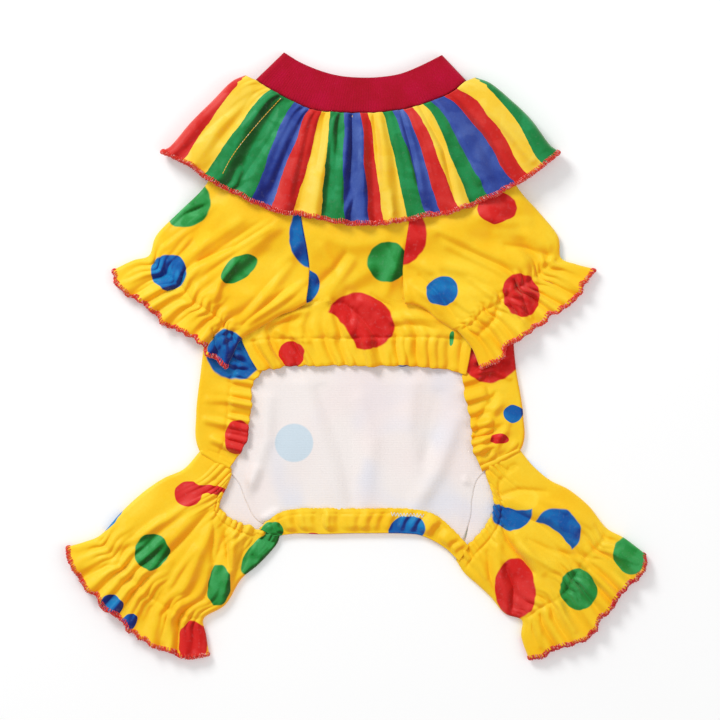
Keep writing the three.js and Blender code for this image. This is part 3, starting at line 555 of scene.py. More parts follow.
@dataclass
class Workshop:
    """The shader groups that the garment's materials share."""

    pile: bpy.types.NodeTree
    dot: bpy.types.NodeTree
    knit_back: bpy.types.NodeTree
    thread: bpy.types.NodeTree
    # Plan direction away from the key light, along which the pile is given its painted shade.
    away_from_key_light: tuple[float, float, float] = (0.62, -0.78, 0.0)

    @classmethod
    def open(cls) -> "Workshop":
        """Builds every shared group once."""
        return cls(pile_group(), dot_group(), wrong_side_group(), thread_group())

    def start(self, name: str, rough: float, sheen: float, tint: Colour) -> tuple[Wiring, bpy.types.Node, Socket]:
        """Starts a cloth material.

        Args:
            name: the material's name.
            rough: roughness, until a texture takes it over.
            sheen: how much the fibres catch the light at their sides.
            tint: colour of that sheen.

        Returns:
            The wiring, the shader and the Object coordinates.
        """
        material = bpy.data.materials.new(name)
        material.use_nodes = True
        w = Wiring(material.node_tree, material)
        shader = material.node_tree.nodes["Principled BSDF"]
        shader.inputs["Roughness"].default_value = rough
        shader.inputs["Sheen Weight"].default_value = sheen
        shader.inputs["Sheen Roughness"].default_value = 0.42
        shader.inputs["Sheen Tint"].default_value = tint
        shader.inputs["Specular IOR Level"].default_value = 0.22
        at = w.node("TexCoord").outputs["Object"]
        return w, shader, at

    @staticmethod
    def bump(w: Wiring, shader: bpy.types.Node, height: Socket, deep: float, strength: float) -> None:
        """Lets a height roughen the surface.

        Args:
            w: the material's wiring.
            shader: its shader.
            height: the height, about 0 to 1.
            deep: depth of that height, m.
            strength: how strongly it counts.
        """
        made = w.node("Bump", {"Height": height, "Distance": deep, "Strength": strength})
        w.give(shader.inputs["Normal"], made.outputs["Normal"])

    def pile_finish(self, w: Wiring, shader: bpy.types.Node, at: Socket, colour: Socket, crush_and_shade: object) -> None:
        """Gives printed cloth its pile, with its painted shade and painted light.

        Args:
            w: the material's wiring.
            shader: its shader.
            at: Object coordinates.
            colour: the print.
            crush_and_shade: how strongly the pile is pressed about, which also strengthens its painted shade and sheen.
        """
        # The surface's normal against the direction away from the key light gives the pile its painted shade and
        # painted light.
        facing = w.node("NewGeometry").outputs["Normal"]
        lean = w.vector("DOT_PRODUCT", facing, self.away_from_key_light).outputs["Value"]
        given = {"Vector": at, "Colour": colour, "Crush_and_shade": crush_and_shade, "Turned_from_light": lean}
        group = w.node("Group", given, node_tree=self.pile)
        w.give(shader.inputs["Base Color"], group.outputs["Colour"])
        w.give(shader.inputs["Roughness"], group.outputs["Roughness"])
        self.bump(w, shader, group.outputs["Height"], 0.0003, 0.35)

    def dotted(self, name: str, dots: Sequence[Dot]) -> bpy.types.Material:
        """Yellow plush with its printed dots.

        Args:
            name: the material's name.
            dots: the dots of this piece.

        Returns:
            The material.
        """
        w, shader, at = self.start(name, 0.7, 0.35, (1.0, 0.82, 0.5, 1.0))
        flat = w.node("UVMap", uv_map=PLAN_UV).outputs["UV"]
        stray = w.node("TexNoise", {"Vector": at, "Scale": 95.0, "Detail": 1.0}).outputs["Color"]
        push = w.vector("SUBTRACT", stray, (0.5, 0.5, 0.5)).outputs[0]
        push = w.node("VectorMath", {0: push, 3: 0.0034}, operation="SCALE").outputs[0]
        bled = w.vector("ADD", flat, push).outputs[0]
        tone = w.span(w.noise(at, 20.0, 2.0), 0.35, 0.7)
        colour = w.blend(tone, Dye.YELLOW.value, linear(250, 196, 20))
        ink: object = 0.0
        for dot in dots:
            given = {
                "Vector": bled,
                "Centre": dot.centre(),
                "Turn": -dot.turn,
                "Size": dot.size(),
                "Ground": colour,
                "Dye": dot.dye.value,
                "Ink": ink,
                "Dark": 0.0 if dot.dye is Dye.YELLOW else 1.0,
            }
            made = w.node("Group", given, node_tree=self.dot)
            colour, ink = made.outputs["Colour"], made.outputs["Ink"]
        self.pile_finish(w, shader, at, colour, ink)
        return w.material

    def striped(self, name: str) -> bpy.types.Material:
        """Striped plush of the ruffle, whose stripes follow the cloth from neck to hem."""
        w, shader, at = self.start(name, 0.65, 0.4, (1.0, 0.9, 0.75, 1.0))
        along = w.node("SeparateXYZ", {0: w.node("UVMap", uv_map=STRIPE_UV).outputs["UV"]}).outputs["X"]
        fine = w.times(w.less(w.noise(at, 300.0, 1.0), 0.5), 0.003)
        broad = w.times(w.less(w.noise(at, 34.0, 1.0), 0.5), 0.022)
        stray = w.add(fine, broad)
        ramp = w.node("ValToRGB", {0: w.add(along, stray)})
        ramp.color_ramp.interpolation = "CONSTANT"
        order = [Dye.STRIPE_RED, Dye.STRIPE_YELLOW, Dye.STRIPE_GREEN]
        repeat = [Dye.STRIPE_GREEN, Dye.STRIPE_BLUE, Dye.STRIPE_RED, Dye.STRIPE_YELLOW]
        order += [repeat[i % 4] for i in range(STRIPES - 3)]
        stops = ramp.color_ramp.elements
        stops[0].color = order[0].value
        stops.remove(stops[1])
        for i, dye in enumerate(order[1:], start=1):
            stops.new(i / STRIPES).color = dye.value
        self.pile_finish(w, shader, at, ramp.outputs["Color"], 0.75)
        return w.material

    def wrong_side(self, name: str, stains: Sequence[tuple[Dye, float, float, float]] = ()) -> bpy.types.Material:
        """White knitted back of the cloth.

        Args:
            name: the material's name.
            stains: dye, column, row and half width of dots that show through it.

        Returns:
            The material.
        """
        w, shader, at = self.start(name, 0.9, 0.2, (1.0, 0.96, 0.97, 1.0))
        group = w.node("Group", {"Vector": at}, node_tree=self.knit_back)
        colour = group.outputs["Colour"]
        for dye, column, row, half in stains:
            x, y = plan(column, row)
            away = w.length(w.vector("SUBTRACT", at, (x * MM, y * MM, 0.0)).outputs[0])
            wide = half * SQUARE * MM
            inside = w.span(away, wide * 1.06, wide * 0.96)
            faint = tuple(mix(0.88, channel, k) for channel, k in zip(dye.value, (0.27, 0.17, 0.1))) + (1.0,)
            colour = w.blend(inside, colour, faint)
        w.give(shader.inputs["Base Color"], colour)
        self.bump(w, shader, group.outputs["Height"], 0.0003, 0.45)
        return w.material

    def ribbed(self, name: str) -> bpy.types.Material:
        """Crimson rib knit of the neck band."""
        w, shader, at = self.start(name, 0.88, 0.22, (1.0, 0.4, 0.45, 1.0))
        fuzz = w.noise(at, 1300.0, 3.0)
        soft = w.noise(at, 60.0, 2.0)
        power = w.add(w.times(fuzz, 0.5), w.add(w.times(soft, 0.5), 0.5))
        colour = w.node("Gamma", {"Color": Dye.CRIMSON.value, "Gamma": power}).outputs[0]
        loops = w.node("UVMap", uv_map=STRIPE_UV).outputs["UV"]
        loops = w.node("Mapping", {"Vector": loops, "Scale": (1.0, 16.0, 1.0)}).outputs[0]
        rows = w.node("TexWave", {"Vector": loops, "Scale": 1.0, "Distortion": 0.4}, bands_direction="Y").outputs["Fac"]
        w.give(shader.inputs["Base Color"], colour)
        self.bump(w, shader, w.add(w.times(rows, 0.35), fuzz), 0.0005, 0.6)
        return w.material

    def threaded(self, name: str, dye: Dye, thread_highlight: Colour) -> bpy.types.Material:
        """Sewing thread.

        Args:
            name: the material's name.
            dye: the thread's colour.
            thread_highlight: colour of its painted highlights.

        Returns:
            The material.
        """
        w, shader, at = self.start(name, 0.75, 0.25, (1.0, 0.8, 0.75, 1.0))
        group = w.node("Group", {"Vector": at, "Colour": dye.value, "Highlight": thread_highlight}, node_tree=self.thread)
        w.give(shader.inputs["Base Color"], group.outputs["Colour"])
        self.bump(w, shader, group.outputs["Height"], 0.0002, 0.4)
        return w.material


# ---- making a cloth ----
@dataclass
class Cloth:
    """A grid of cloth that is moved onto its surface, joined up and given its layers of material.

    Fields are its name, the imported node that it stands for, and how thick it is in mm.
    """

    name: str
    node: str
    thick: float

    def weave(
        self,
        columns: Sequence[float],
        rows: Sequence[float],
        surface: Place,
        pattern: Callable[[float, float, bool], Point] | None = None,
        hidden: Callable[[float], bool] = lambda v: False,
    ) -> bmesh.types.BMesh:
        """Grid of cloth on a surface.

        Args:
            columns: places v of the grid's columns.
            rows: stations t of the grid's rows.
            surface: mid-surface at (v, t), in mm.
            pattern: stripe coordinates at (v, t), where the cloth has stripes or ribs.
            hidden: tells from v whether the cloth is on the garment's hidden side.

        Returns:
            The mesh, in metres.
        """
        mesh = bmesh.new()
        across, down = len(columns) - 1, len(rows) - 1
        bmesh.ops.create_grid(mesh, x_segments=across, y_segments=down, size=0.5)
        flat, stripe = mesh.loops.layers.uv.new(PLAN_UV), mesh.loops.layers.uv.new(STRIPE_UV)
        spots = {}
        for vert in mesh.verts:
            i, j = round((vert.co.x + 0.5) * across), round((vert.co.y + 0.5) * down)
            spots[vert] = (columns[i], rows[j])
        for vert, (v, t) in spots.items():
            vert.co = surface(v, t) * MM
        for face in mesh.faces:
            middle = sum(spots[vert][0] for vert in face.verts) / len(face.verts)
            away = hidden(middle)
            for loop in face.loops:
                v, t = spots[loop.vert]
                co = loop.vert.co
                loop[flat].uv = (co.x, co.y + (UNDER_SHIFT if away else 0.0))
                loop[stripe].uv = pattern(v, t, away) if pattern else (v, t)
            face.smooth = True
        return mesh

    def settle(self, mesh: bmesh.types.BMesh, up: bool, at: Point = (0.0, 0.0)) -> None:
        """Joins the mesh's doubled places and turns its right side outwards.

        Args:
            mesh: the mesh.
            up: True if the right side is up at the test place.
            at: the test place, mm.
        """
        bmesh.ops.remove_doubles(mesh, verts=mesh.verts, dist=2e-6)
        bmesh.ops.recalc_face_normals(mesh, faces=mesh.faces)
        spot, side = Vector((at[0] * MM, at[1] * MM)), 10 if up else -10

        def away(face: bmesh.types.BMFace) -> float:
            """How far a face is from the outermost one at the test place."""
            middle = face.calc_center_median()
            return (middle.to_2d() - spot).length - side * middle.z

        if (min(mesh.faces, key=away).normal.z > 0) != up:
            bmesh.ops.reverse_faces(mesh, faces=mesh.faces)

    def finish(
        self, mesh: bmesh.types.BMesh, right: bpy.types.Material, wrong: bpy.types.Material, slot: str = "plush"
    ) -> Piece:
        """Makes the object, with its thickness, its two sides and its place in the model.

        Args:
            mesh: the mid-surface, whose normals are on the right side.
            right: material of the right side and the edges.
            wrong: material of the wrong side.
            slot: not used.

        Returns:
            The piece.
        """
        data = bpy.data.meshes.new(self.name)
        mesh.to_mesh(data)
        mesh.free()
        piece = bpy.data.objects.new(self.name, data)
        bpy.context.scene.collection.objects.link(piece)
        data.materials.append(right)
        data.materials.append(wrong)
        wall = piece.modifiers.new("thickness", "SOLIDIFY")
        wall.thickness = self.thick * MM
        wall.offset = 0.0
        wall.material_offset = 1
        wall.material_offset_rim = 0
        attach(piece, "root")
        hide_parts(self.node)
        return piece


def spread(start: float, finish: float, steps: int) -> list[float]:
    """Even steps from start to finish, both included."""
    return [mix(start, finish, i / steps) for i in range(steps + 1)]


def joined(*runs: Sequence[float]) -> list[float]:
    """Runs of places set end to end, without doubling the places where they meet."""
    out = list(runs[0])
    for run in runs[1:]:
        out += list(run)[1:]
    return out


def ring_place(v: float, side_share: float) -> Point:
    """Where a point of a flattened ring lies.

    Args:
        v: place round the ring, 0 to 1.
        side_share: width of each rounded side, as a share of the tube's width.

    Returns:
        Its share s across, and front: 1 on the top layer and 0 on the one beneath.
    """
    around = v - math.floor(v)
    top = around <= 0.5
    along = 2 * around if top else 2 * (1 - around)
    turn = 2 * TURN
    half = 0.5 if top else -0.5
    if along < turn:
        angle = along / turn * math.pi / 2
        return side_share * (1 - math.cos(angle)), 0.5 + half * math.sin(angle)
    if along > 1 - turn:
        angle = (1 - along) / turn * math.pi / 2
        return 1 - side_share * (1 - math.cos(angle)), 0.5 + half * math.sin(angle)
    return mix(side_share, 1 - side_share, (along - turn) / (1 - 2 * turn)), 1.0 if top else 0.0


def ring_columns(top: int, under: int) -> list[float]:
    """Places round a ring: the given steps along each layer and four in each quarter turn."""
    return joined(
        spread(0, TURN, 4),
        spread(TURN, 0.5 - TURN, top),
        spread(0.5 - TURN, 0.5 + TURN, 8),
        spread(0.5 + TURN, 1 - TURN, under),
        spread(1 - TURN, 1, 4),
    )


def rail(rows: Sequence[Row], x: str, y: str) -> Edge:
    """Side of a cut, from two columns of a table."""
    read_x, read_y = column_of(rows, x), column_of(rows, y)
    return lambda t: (read_x(t), read_y(t))


def straight(a: Point, b: Point) -> Edge:
    """Straight side of a cut from a to b."""
    return lambda t: (mix(a[0], b[0], t), mix(a[1], b[1], t))


def rows_of(keys: str, *values: Sequence[float]) -> list[Row]:
    """Table rows from the names of their columns and their values."""
    names = keys.split()
    return [dict(zip(names, row)) for row in values]


# The seams between the chest panel and the two sleeves, from the underarm up to the neck.
RAGLAN = rows_of(
    "at left right",
    (40.6, -37.6, 31.3),
    (54, -35.9, 30.2),
    (68.6, -35.5, 29.9),
    (96.6, -40.4, 34.1),
    (122.5, -43.9, 37),
    (147, -48.9, 40.5),
    (165, -51.4, 43.8),
    (178, -53.8, 47),
)
# The seams between the back panel and the two sleeves.
BACK_RAGLAN = rows_of(
    "at left right",
    (64, -110.4, 111.6),
    (74, -107, 108.4),
    (87, -100, 101.6),
    (105, -90.5, 92.2),
    (125, -81, 82.6),
    (145, -72.5, 74),
    (165, -66, 67.4),
    (180, -62, 63.4),
)
NECK_SEAM = (
    (-72, 195.3), (-64.4, 190.4), (-49, 182), (-35, 175.7), (-21, 173.6), (7, 172.9), (28, 175), (42, 178.5),
    (56, 183.4), (66.5, 189), (73.5, 194.6),
)
NECK_TOP = (
    (-52.5, 214.6), (-42, 208.2), (-28, 202.3), (-14, 198.6), (0, 197.4), (14, 197.8), (28, 200), (42, 205.5),
    (56.7, 212.8),
)

BODY_RISE = 12.0  # way over which a sleeve climbs onto the body
OVER_BACK = PLUSH + 0.95  # height of a sleeve on the back alone, above the back
OVER_STRIP = PITCH + PLUSH + 0.4  # height of a sleeve on the back's strip
UNDER_WAVE = 0.35  # height of a limb's flutes underneath, for each mm above
BACK_HALF = column_of(
    rows_of("at half", (0, 111), (24, 108.5), *((row["at"], row["right"]) for row in BACK_RAGLAN)),
    "half",
)


def sleeve_level(x: float, y: float) -> float:
    """Height of a sleeve's under layer, which climbs from the surface onto the body."""
    half = BACK_HALF(y) + 2.5
    climb = mix(OVER_BACK, OVER_STRIP, smooth(54, 44, y))
    return back_level(x, y) + climb * smooth(half + BODY_RISE, half, abs(x))


def leg_level(x: float, y: float) -> float:
    """Height of a leg's under layer, which lies on the surface."""
    return FLOOR


@dataclass
class Limb(Cloth):
    """A sleeve or leg: a flattened tube with an elastic above its flared, overlocked edge.

    Each row of rails holds at, outX, outY, inX, inY, crown and wave. elastic is the elastic's station, fade how
    fast the ends' bows die away, root the seam or edge at the body, and drawn the height of its gathers there.
    """

    rails: list[Row]
    root: tuple[Point, ...]
    hem: tuple[Point, ...]
    elastic: float
    fade: float
    flutes: int
    level: Level
    creases: tuple[Crease, ...]
    dots: tuple[Dot, ...]
    thread: Dye
    flat: tuple[float, float]
    area: float
    seed: int
    under_root: tuple[Point, ...] | None = None
    drawn: float = 0.0
    LAP = 0.03  # share of the length that a gathered root passes under the strip
    PUCKER = 3.0  # height of the elastic's puckers
    FLARE = 1.5  # height of the folds in the flared edge
    CRUSH = 1.7  # height of the folds between the elastic and that edge
    GROOVE = 0.9  # depth of the line where the elastic is sewn

    def surface(self) -> Place:
        """Mid-surface of the whole tube at (v, t), mm."""
        outer, inner = rail(self.rails, "outX", "outY"), rail(self.rails, "inX", "inY")
        crown, wave = column_of(self.rails, "crown"), column_of(self.rails, "wave")
        hem = edge_of(self.hem)
        top = layout(edge_of(self.root), hem, outer, inner, self.fade)
        under = layout(edge_of(self.under_root or self.root), hem, outer, inner, self.fade)
        relief = Relief(self.creases)
        puckers = Gathers(17, self.seed, 1.9, 0.33)
        flare = Gathers(12, self.seed + 1, 2.0)
        curl = Gathers(14, self.seed + 4, 2.0)
        back_puckers = Gathers(16, self.seed + 2)
        root_pleats = Gathers(23, self.seed + 3, 2.4, 0.38)
        (ax, ay), (bx, by) = outer(0.9), inner(0.9)
        (cx, cy), (dx, dy) = outer(1.0), inner(1.0)
        outward = Vector((cx + dx - ax - bx, cy + dy - ay - by)).normalized()
        elastic, flutes, level = self.elastic, self.flutes, self.level

        def place(v: float, t: float) -> Vector:
            """Point of the tube."""
            a, b = outer(t), inner(t)
            s, front = ring_place(v, 2 / math.dist(a, b))
            lower, upper = under(s, t), top(s, t)
            x, y = mix(lower[0], upper[0], front), mix(lower[1], upper[1], front)
            ends = min(1.0, 6 * s, 6 * (1 - s))
            soft_ends = clamp01(14 * s) * clamp01(14 * (1 - s))
            swing = wave(t)
            ripple = waves(s, flutes, 1 + t) * swing * ends
            reach = 0.05 + 0.075 * (0.5 + 0.5 * wander(110 * s, 0, 9, self.seed + 20))
            near = bell(t - elastic, reach if t < elastic else 0.085)
            beyond = smooth(elastic, elastic + 0.05, t)
            frill = smooth(0.84, 1.0, t)
            push = frill * soft_ends * 2.4 * (curl.at(s) - 0.4)
            x, y = x + outward.x * push, y + outward.y * push
            if self.drawn:
                nudge = 1.5 * front * bell(t, 0.05) * smooth(0.14, 0.24, s) * (root_pleats.at(s) - 0.5)
                x, y = x - outward.x * nudge, y - outward.y * nudge
            floor = level(x, y)
            low = floor + UNDER_WAVE * (swing + ripple) + 1.2 * near * back_puckers.at(s) * soft_ends
            if front <= 0:
                return Vector((x, y, low))
            dome = crown(t) * max(0.0, 4 * s * (1 - s)) ** 0.6
            pressed = 1 - 0.85 * smooth(-14, -2, y - ruffle_line(x))
            fine = self.PUCKER * near * (puckers.at(s + 0.012 * math.sin(40 * t)) - 0.3)
            fine += self.FLARE * frill * (flare.at(s) - 0.35)
            fine += self.CRUSH * beyond * smooth(1.0, 0.86, t) * (puckers.at(s + 0.015 * math.sin(9 * t)) - 0.35)
            fine -= self.GROOVE * bell(t - elastic, 0.016)
            bend = 1.5 * relief.at(x, y) * smooth(0.0, 0.03, t)
            lying = 1.1 * wander(x, y, 30, self.seed) + 0.4 * wander(x, y, 11, self.seed + 7)
            if self.drawn:
                long = 0.16 + 0.14 * wander(90 * s, 3, 9, self.seed + 30)
                pleated = bell(t, max(0.07, long)) * smooth(0.1, 0.2, s)
                fine += self.drawn * pleated * (root_pleats.at(s + 0.05 * t) - 0.25)
                fine -= 1.1 * bell(t - 0.12, 0.018) * smooth(0.14, 0.24, s)
                fine -= 1.5 * smooth(0.022, 0.0, t)
            room = smooth(0.0, 0.07, t)
            high = floor + PITCH + dome * pressed + 2 * UNDER_WAVE * swing + ripple
            high += soft_ends * (fine + (bend + lying * room) * pressed)
            return Vector((x, y, mix(low, max(high, low + 1.75), front)))

        def lapped(v: float, t: float) -> Vector:
            """Point of the tube, or of the allowance that passes under the back's strip and up to the back."""
            if t >= 0:
                return place(v, t)
            start, (s, front) = place(v, 0.0), ring_place(v, 0.02)
            away = start - place(v, 0.03)
            away.z = 0
            slip = t / -self.LAP
            reach = mix(2.3, 2.6 * smooth(0.26, 0.16, s), front)
            return start + away.normalized() * (reach * slip) - Vector((0, 0, 0.2 * slip))

        return lapped if self.drawn else place

    def build(self, shop: Workshop) -> list[Piece]:
        """Builds the limb and its overlocked edge.

        Args:
            shop: the shared shader groups.

        Returns:
            The cloth and the thread.
        """
        place = self.surface()
        rows = joined(spread(0, 0.5, 44), spread(0.5, 1, 58))
        if self.drawn:
            rows = joined(spread(-self.LAP, 0, 4), rows)
        mesh = self.weave(ring_columns(150, 60), rows, place, hidden=lambda v: v > 0.5)
        middle = place(0.25, 0.4)
        self.settle(mesh, True, (middle.x, middle.y))
        right = shop.dotted(self.name + "_plush", self.dots + hidden_dots(self.dots, self.rails, self.seed))
        piece = self.finish(mesh, right, shop.wrong_side(self.name + "_inside"))
        seam = Overlock(self.name + "_overlock", self.thread, self.seed).build(shop, place, 0.025, 170)
        return [piece, seam]


@dataclass(kw_only=True)
class Sleeve(Limb):
    """A front leg's sleeve, which lies on the body with its upper part."""

    thick: float = PLUSH
    elastic: float = 0.72
    fade: float = 1.5
    flutes: int = 8
    level: Level = sleeve_level
    thread: Dye = Dye.THREAD_RED
    flat: tuple[float, float] = (0.25, 0.2)
    area: float = 0.03


@dataclass(kw_only=True)
class Leg(Limb):
    """A hind leg's tube, whose root is gathered where it passes under the back's strip."""

    thick: float = PLUSH
    elastic: float = 0.74
    fade: float = 2
    flutes: int = 9
    level: Level = leg_level
    flat: tuple[float, float] = (0.24, 0.15)
    area: float = 0.028


def hidden_dots(shown: Sequence[Dot], rails: Sequence[Row], seed: int) -> tuple[Dot, ...]:
    """Dots of a limb's hidden layer: those that pass round its sides, and others of their own.

    Args:
        shown: the dots of the shown layer.
        rails: the limb's rails, which bound it.
        seed: start of the draw.

    Returns:
        The hidden dots.
    """
    xs = [row[key] for row in rails for key in ("outX", "inX")]
    ys = [row[key] for row in rails for key in ("outY", "inY")]
    (left, low), (right, high) = (min(xs), min(ys)), (max(xs), max(ys))
    box = (*squares(left, high), *squares(right, low))
    sides = [squares(row[side + "X"], row[side + "Y"]) for side in ("out", "in") for row in rails]
    kept = []
    for dot in shown:
        reach = max(dot.half_wide, dot.half_high)
        if min(math.dist((dot.column, dot.row), side) for side in sides) < reach + 6:
            kept.append(replace(dot, hidden=True))
    return tuple(kept) + scattered_dots(box, 9, seed, kept)


def scattered_dots(box: Sequence[float], count: int, seed: int, kept: Sequence[Dot]) -> tuple[Dot, ...]:
    """Dots strewn over a hidden layer, clear of each other.

    Args:
        box: lowest column and row, then the highest ones.
        count: number of dots.
        seed: start of the draw.
        kept: dots that are there already.

    Returns:
        The strewn dots.
    """
    draw = random.Random(seed)
    dyes = (Dye.RED, Dye.GREEN, Dye.BLUE)
    out: list[Dot] = []
    for _ in range(400):
        if len(out) >= count:
            break
        half = draw.choice((9, 13, 15, 20, 27))
        spot = (draw.uniform(box[0], box[2]), draw.uniform(box[1], box[3]))
        clear = all(math.dist(spot, (d.column, d.row)) > half + d.half_wide + 16 for d in [*out, *kept])
        if clear:
            out.append(Dot(dyes[len(out) % 3], *spot, half, half * draw.uniform(0.92, 1.0), draw.uniform(0, 3), True))
    return tuple(out)


@dataclass
class Thread:
    """Sewing thread that lies on the cloth as a curve with a thickness."""

    name: str
    dye: Dye

    def start(self, strand: float, fine: int) -> bpy.types.Curve:
        """Empty curve for the thread.

        Args:
            strand: half its thickness, mm.
            fine: how finely its section is rounded.

        Returns:
            The curve.
        """
        curve = bpy.data.curves.new(self.name, "CURVE")
        curve.dimensions = "3D"
        curve.bevel_depth = strand * MM
        curve.bevel_resolution = fine
        curve.use_fill_caps = True
        return curve

    def strand_through(self, curve: bpy.types.Curve, points: Sequence[Vector], radius: float) -> None:
        """Adds one strand to a curve.

        Args:
            curve: the curve.
            points: the points that it passes through, m.
            radius: its thickness against the curve's own.
        """
        spline = curve.splines.new("POLY")
        spline.points.add(len(points) - 1)
        for knot, point in zip(spline.points, points):
            knot.co = (*point, 1.0)
            knot.radius = radius

    def finish(self, curve: bpy.types.Curve, shop: Workshop, thread_highlight: Colour, slot: str) -> Piece:
        """Makes the thread's piece and gives it its place in the model.

        Args:
            curve: the thread's curve.
            shop: the shared shader groups.
            thread_highlight: colour of its painted highlights.
            slot: not used.

        Returns:
            The thread's piece.
        """
        piece = bpy.data.objects.new(self.name, curve)
        bpy.context.scene.collection.objects.link(piece)
        curve.materials.append(shop.threaded(self.name + "_thread", self.dye, thread_highlight))
        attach(piece, "root")
        return piece


@dataclass
class Overlock(Thread):
    """Thread looped round a raw edge: a dense uneven coil over a thin core."""

    seed: int
    pitch: float = 1.3
    out: float = 1.75
    over: float = 1.3
    strand: float = 0.38
    STEPS = 8  # corners of one loop

    def build(self, shop: Workshop, place: Place, inset: float, samples: int, slot: str = "plush") -> Piece:
        """Builds the thread round a tube's open edge.

        Args:
            shop: the shared shader groups.
            place: mid-surface of the tube, whose edge is at t = 1, mm.
            inset: how far in from the edge, as a share of t, the thread's loops point.
            samples: number of points that the edge is measured at.
            slot: handed on to finish.

        Returns:
            The thread's piece.
        """
        stations = [i / samples for i in range(samples + 1)]
        line = [place(v % 1.0, 1.0) for v in stations]
        inward = [(place(v % 1.0, 1.0 - inset) - at).normalized() for v, at in zip(stations, line)]
        total = sum((b - a).length for a, b in zip(line, line[1:]))
        turns = int(total / self.pitch)
        draw = random.Random(self.seed)
        curve = self.start(self.strand, 0)
        gone = [0.0]
        for a, b in zip(line, line[1:]):
            gone.append(gone[-1] + (b - a).length)
        coil = []
        k = 0
        loose = [(draw.uniform(0.86, 1.2), draw.uniform(-0.3, 0.3)) for _ in range(turns + 1)]
        for i in range(turns * self.STEPS + 1):
            swell, slide = loose[min(turns, i // self.STEPS)]
            at = (i / self.STEPS + slide * math.sin(math.pi * (i % self.STEPS) / self.STEPS)) * self.pitch
            at = min(max(at, 0.0), total - 1e-6)
            while k < len(gone) - 2 and gone[k + 1] < at:
                k += 1
            while k > 0 and gone[k] > at:
                k -= 1
            share = (at - gone[k]) / (gone[k + 1] - gone[k])
            centre, into = line[k].lerp(line[k + 1], share), inward[k].lerp(inward[k + 1], share).normalized()
            along = (line[k + 1] - line[k]).normalized()
            up = along.cross(into).normalized()
            angle = 2 * math.pi * i / self.STEPS
            point = centre + into * (0.75 + self.out * swell * math.cos(angle))
            coil.append((point + up * (self.over * swell * math.sin(angle))) * MM)
        self.strand_through(curve, coil, 1.0)
        core = [(centre + into * 0.4) * MM for centre, into in zip(line, inward)]
        self.strand_through(curve, core, 2.5)
        # Pale pink painted highlights on the thread.
        return self.finish(curve, shop, (0.95, 0.62, 0.58, 1.0), slot)


LIMB_KEYS = "at outX outY inX inY crown wave"


def sleeve_left() -> Sleeve:
    """The sleeve at the left of the layout."""
    return Sleeve(
        name="sleeve_left_cloth",
        node="sleeve_left",
        seed=11,
        rails=rows_of(
            LIMB_KEYS,
            (0, -70.5, 190.5, -37.8, 40.6, 0, 0),
            (0.12, -84, 164.5, -46, 35.6, 0.6, 0),
            (0.24, -98, 140, -56, 32, 1.6, 0),
            (0.36, -108.5, 120.4, -65, 26.5, 2.6, 0),
            (0.48, -127, 102.5, -73.5, 21.8, 3.6, 0.1),
            (0.6, -142, 87, -80.5, 17.5, 3.6, 0.7),
            (0.72, -147, 73, -85.5, 12.5, 2.2, 1.3),
            (0.86, -159, 69, -89.5, 3.8, 2.4, 1.4),
            (1, -173, 62.3, -94, -5, 2.4, 2.2),
        ),
        root=((-70.5, 190.5), (-63, 185.5), *((row["left"], row["at"]) for row in reversed(RAGLAN))),
        hem=(
            (-173, 62.3), (-168, 50), (-157, 43.4), (-146, 36), (-136.5, 25.2), (-126, 21), (-112, 13.3),
            (-105, 4), (-94, -5),
        ),
        creases=creases_of(
            (1.9, -1.4, 274, 222, 236, 246, 200, 262), (2.0, 1.8, 222, 330, 226, 350, 232, 362),
            (1.6, -1.8, 213, 330, 216, 348, 222, 360), (1.6, -1.6, 232, 331, 236, 346, 240, 356),
            (2.0, -1.8, 171, 226, 184, 214, 206, 207), (5.0, 2.0, 293, 213, 245, 243, 192, 276),
            (3.4, 1.3, 277, 228, 235, 257, 206, 283), (2.4, -0.9, 284, 222, 240, 251, 198, 281),
            (4.0, 1.6, 262, 245, 225, 275, 205, 303), (4.2, 1.3, 240, 222, 205, 245, 178, 262),
            (2.2, -0.8, 262, 222, 222, 248, 186, 270), (3.6, 1.3, 217, 203, 190, 226, 166, 247),
            (2.0, -0.7, 200, 220, 180, 232, 165, 243), (4.5, 1.5, 297, 246, 276, 281, 252, 312),
            (2.6, -1.0, 288, 262, 262, 292, 238, 318), (2.8, 1.5, 303, 283, 277, 305, 250, 322),
            (2.2, 1.2, 300, 300, 276, 315, 250, 330), (1.8, -0.9, 285, 290, 262, 309, 243, 325),
            (2.2, 1.1, 236, 262, 220, 284, 214, 305), (2.0, 1.0, 190, 238, 176, 255, 168, 262),
        ),
        dots=(
            Dot(Dye.GREEN, 185, 203, 26, 25, 0.2),
            Dot(Dye.BLUE, 169, 272, 18, 18),
            Dot(Dye.GREEN, 239, 269, 20.5, 11.5, 0.6),
            Dot(Dye.BLUE, 314, 235, 25, 34, 0.08),
            Dot(Dye.BLUE, 226, 350, 17, 21, -0.3),
        ),
    )


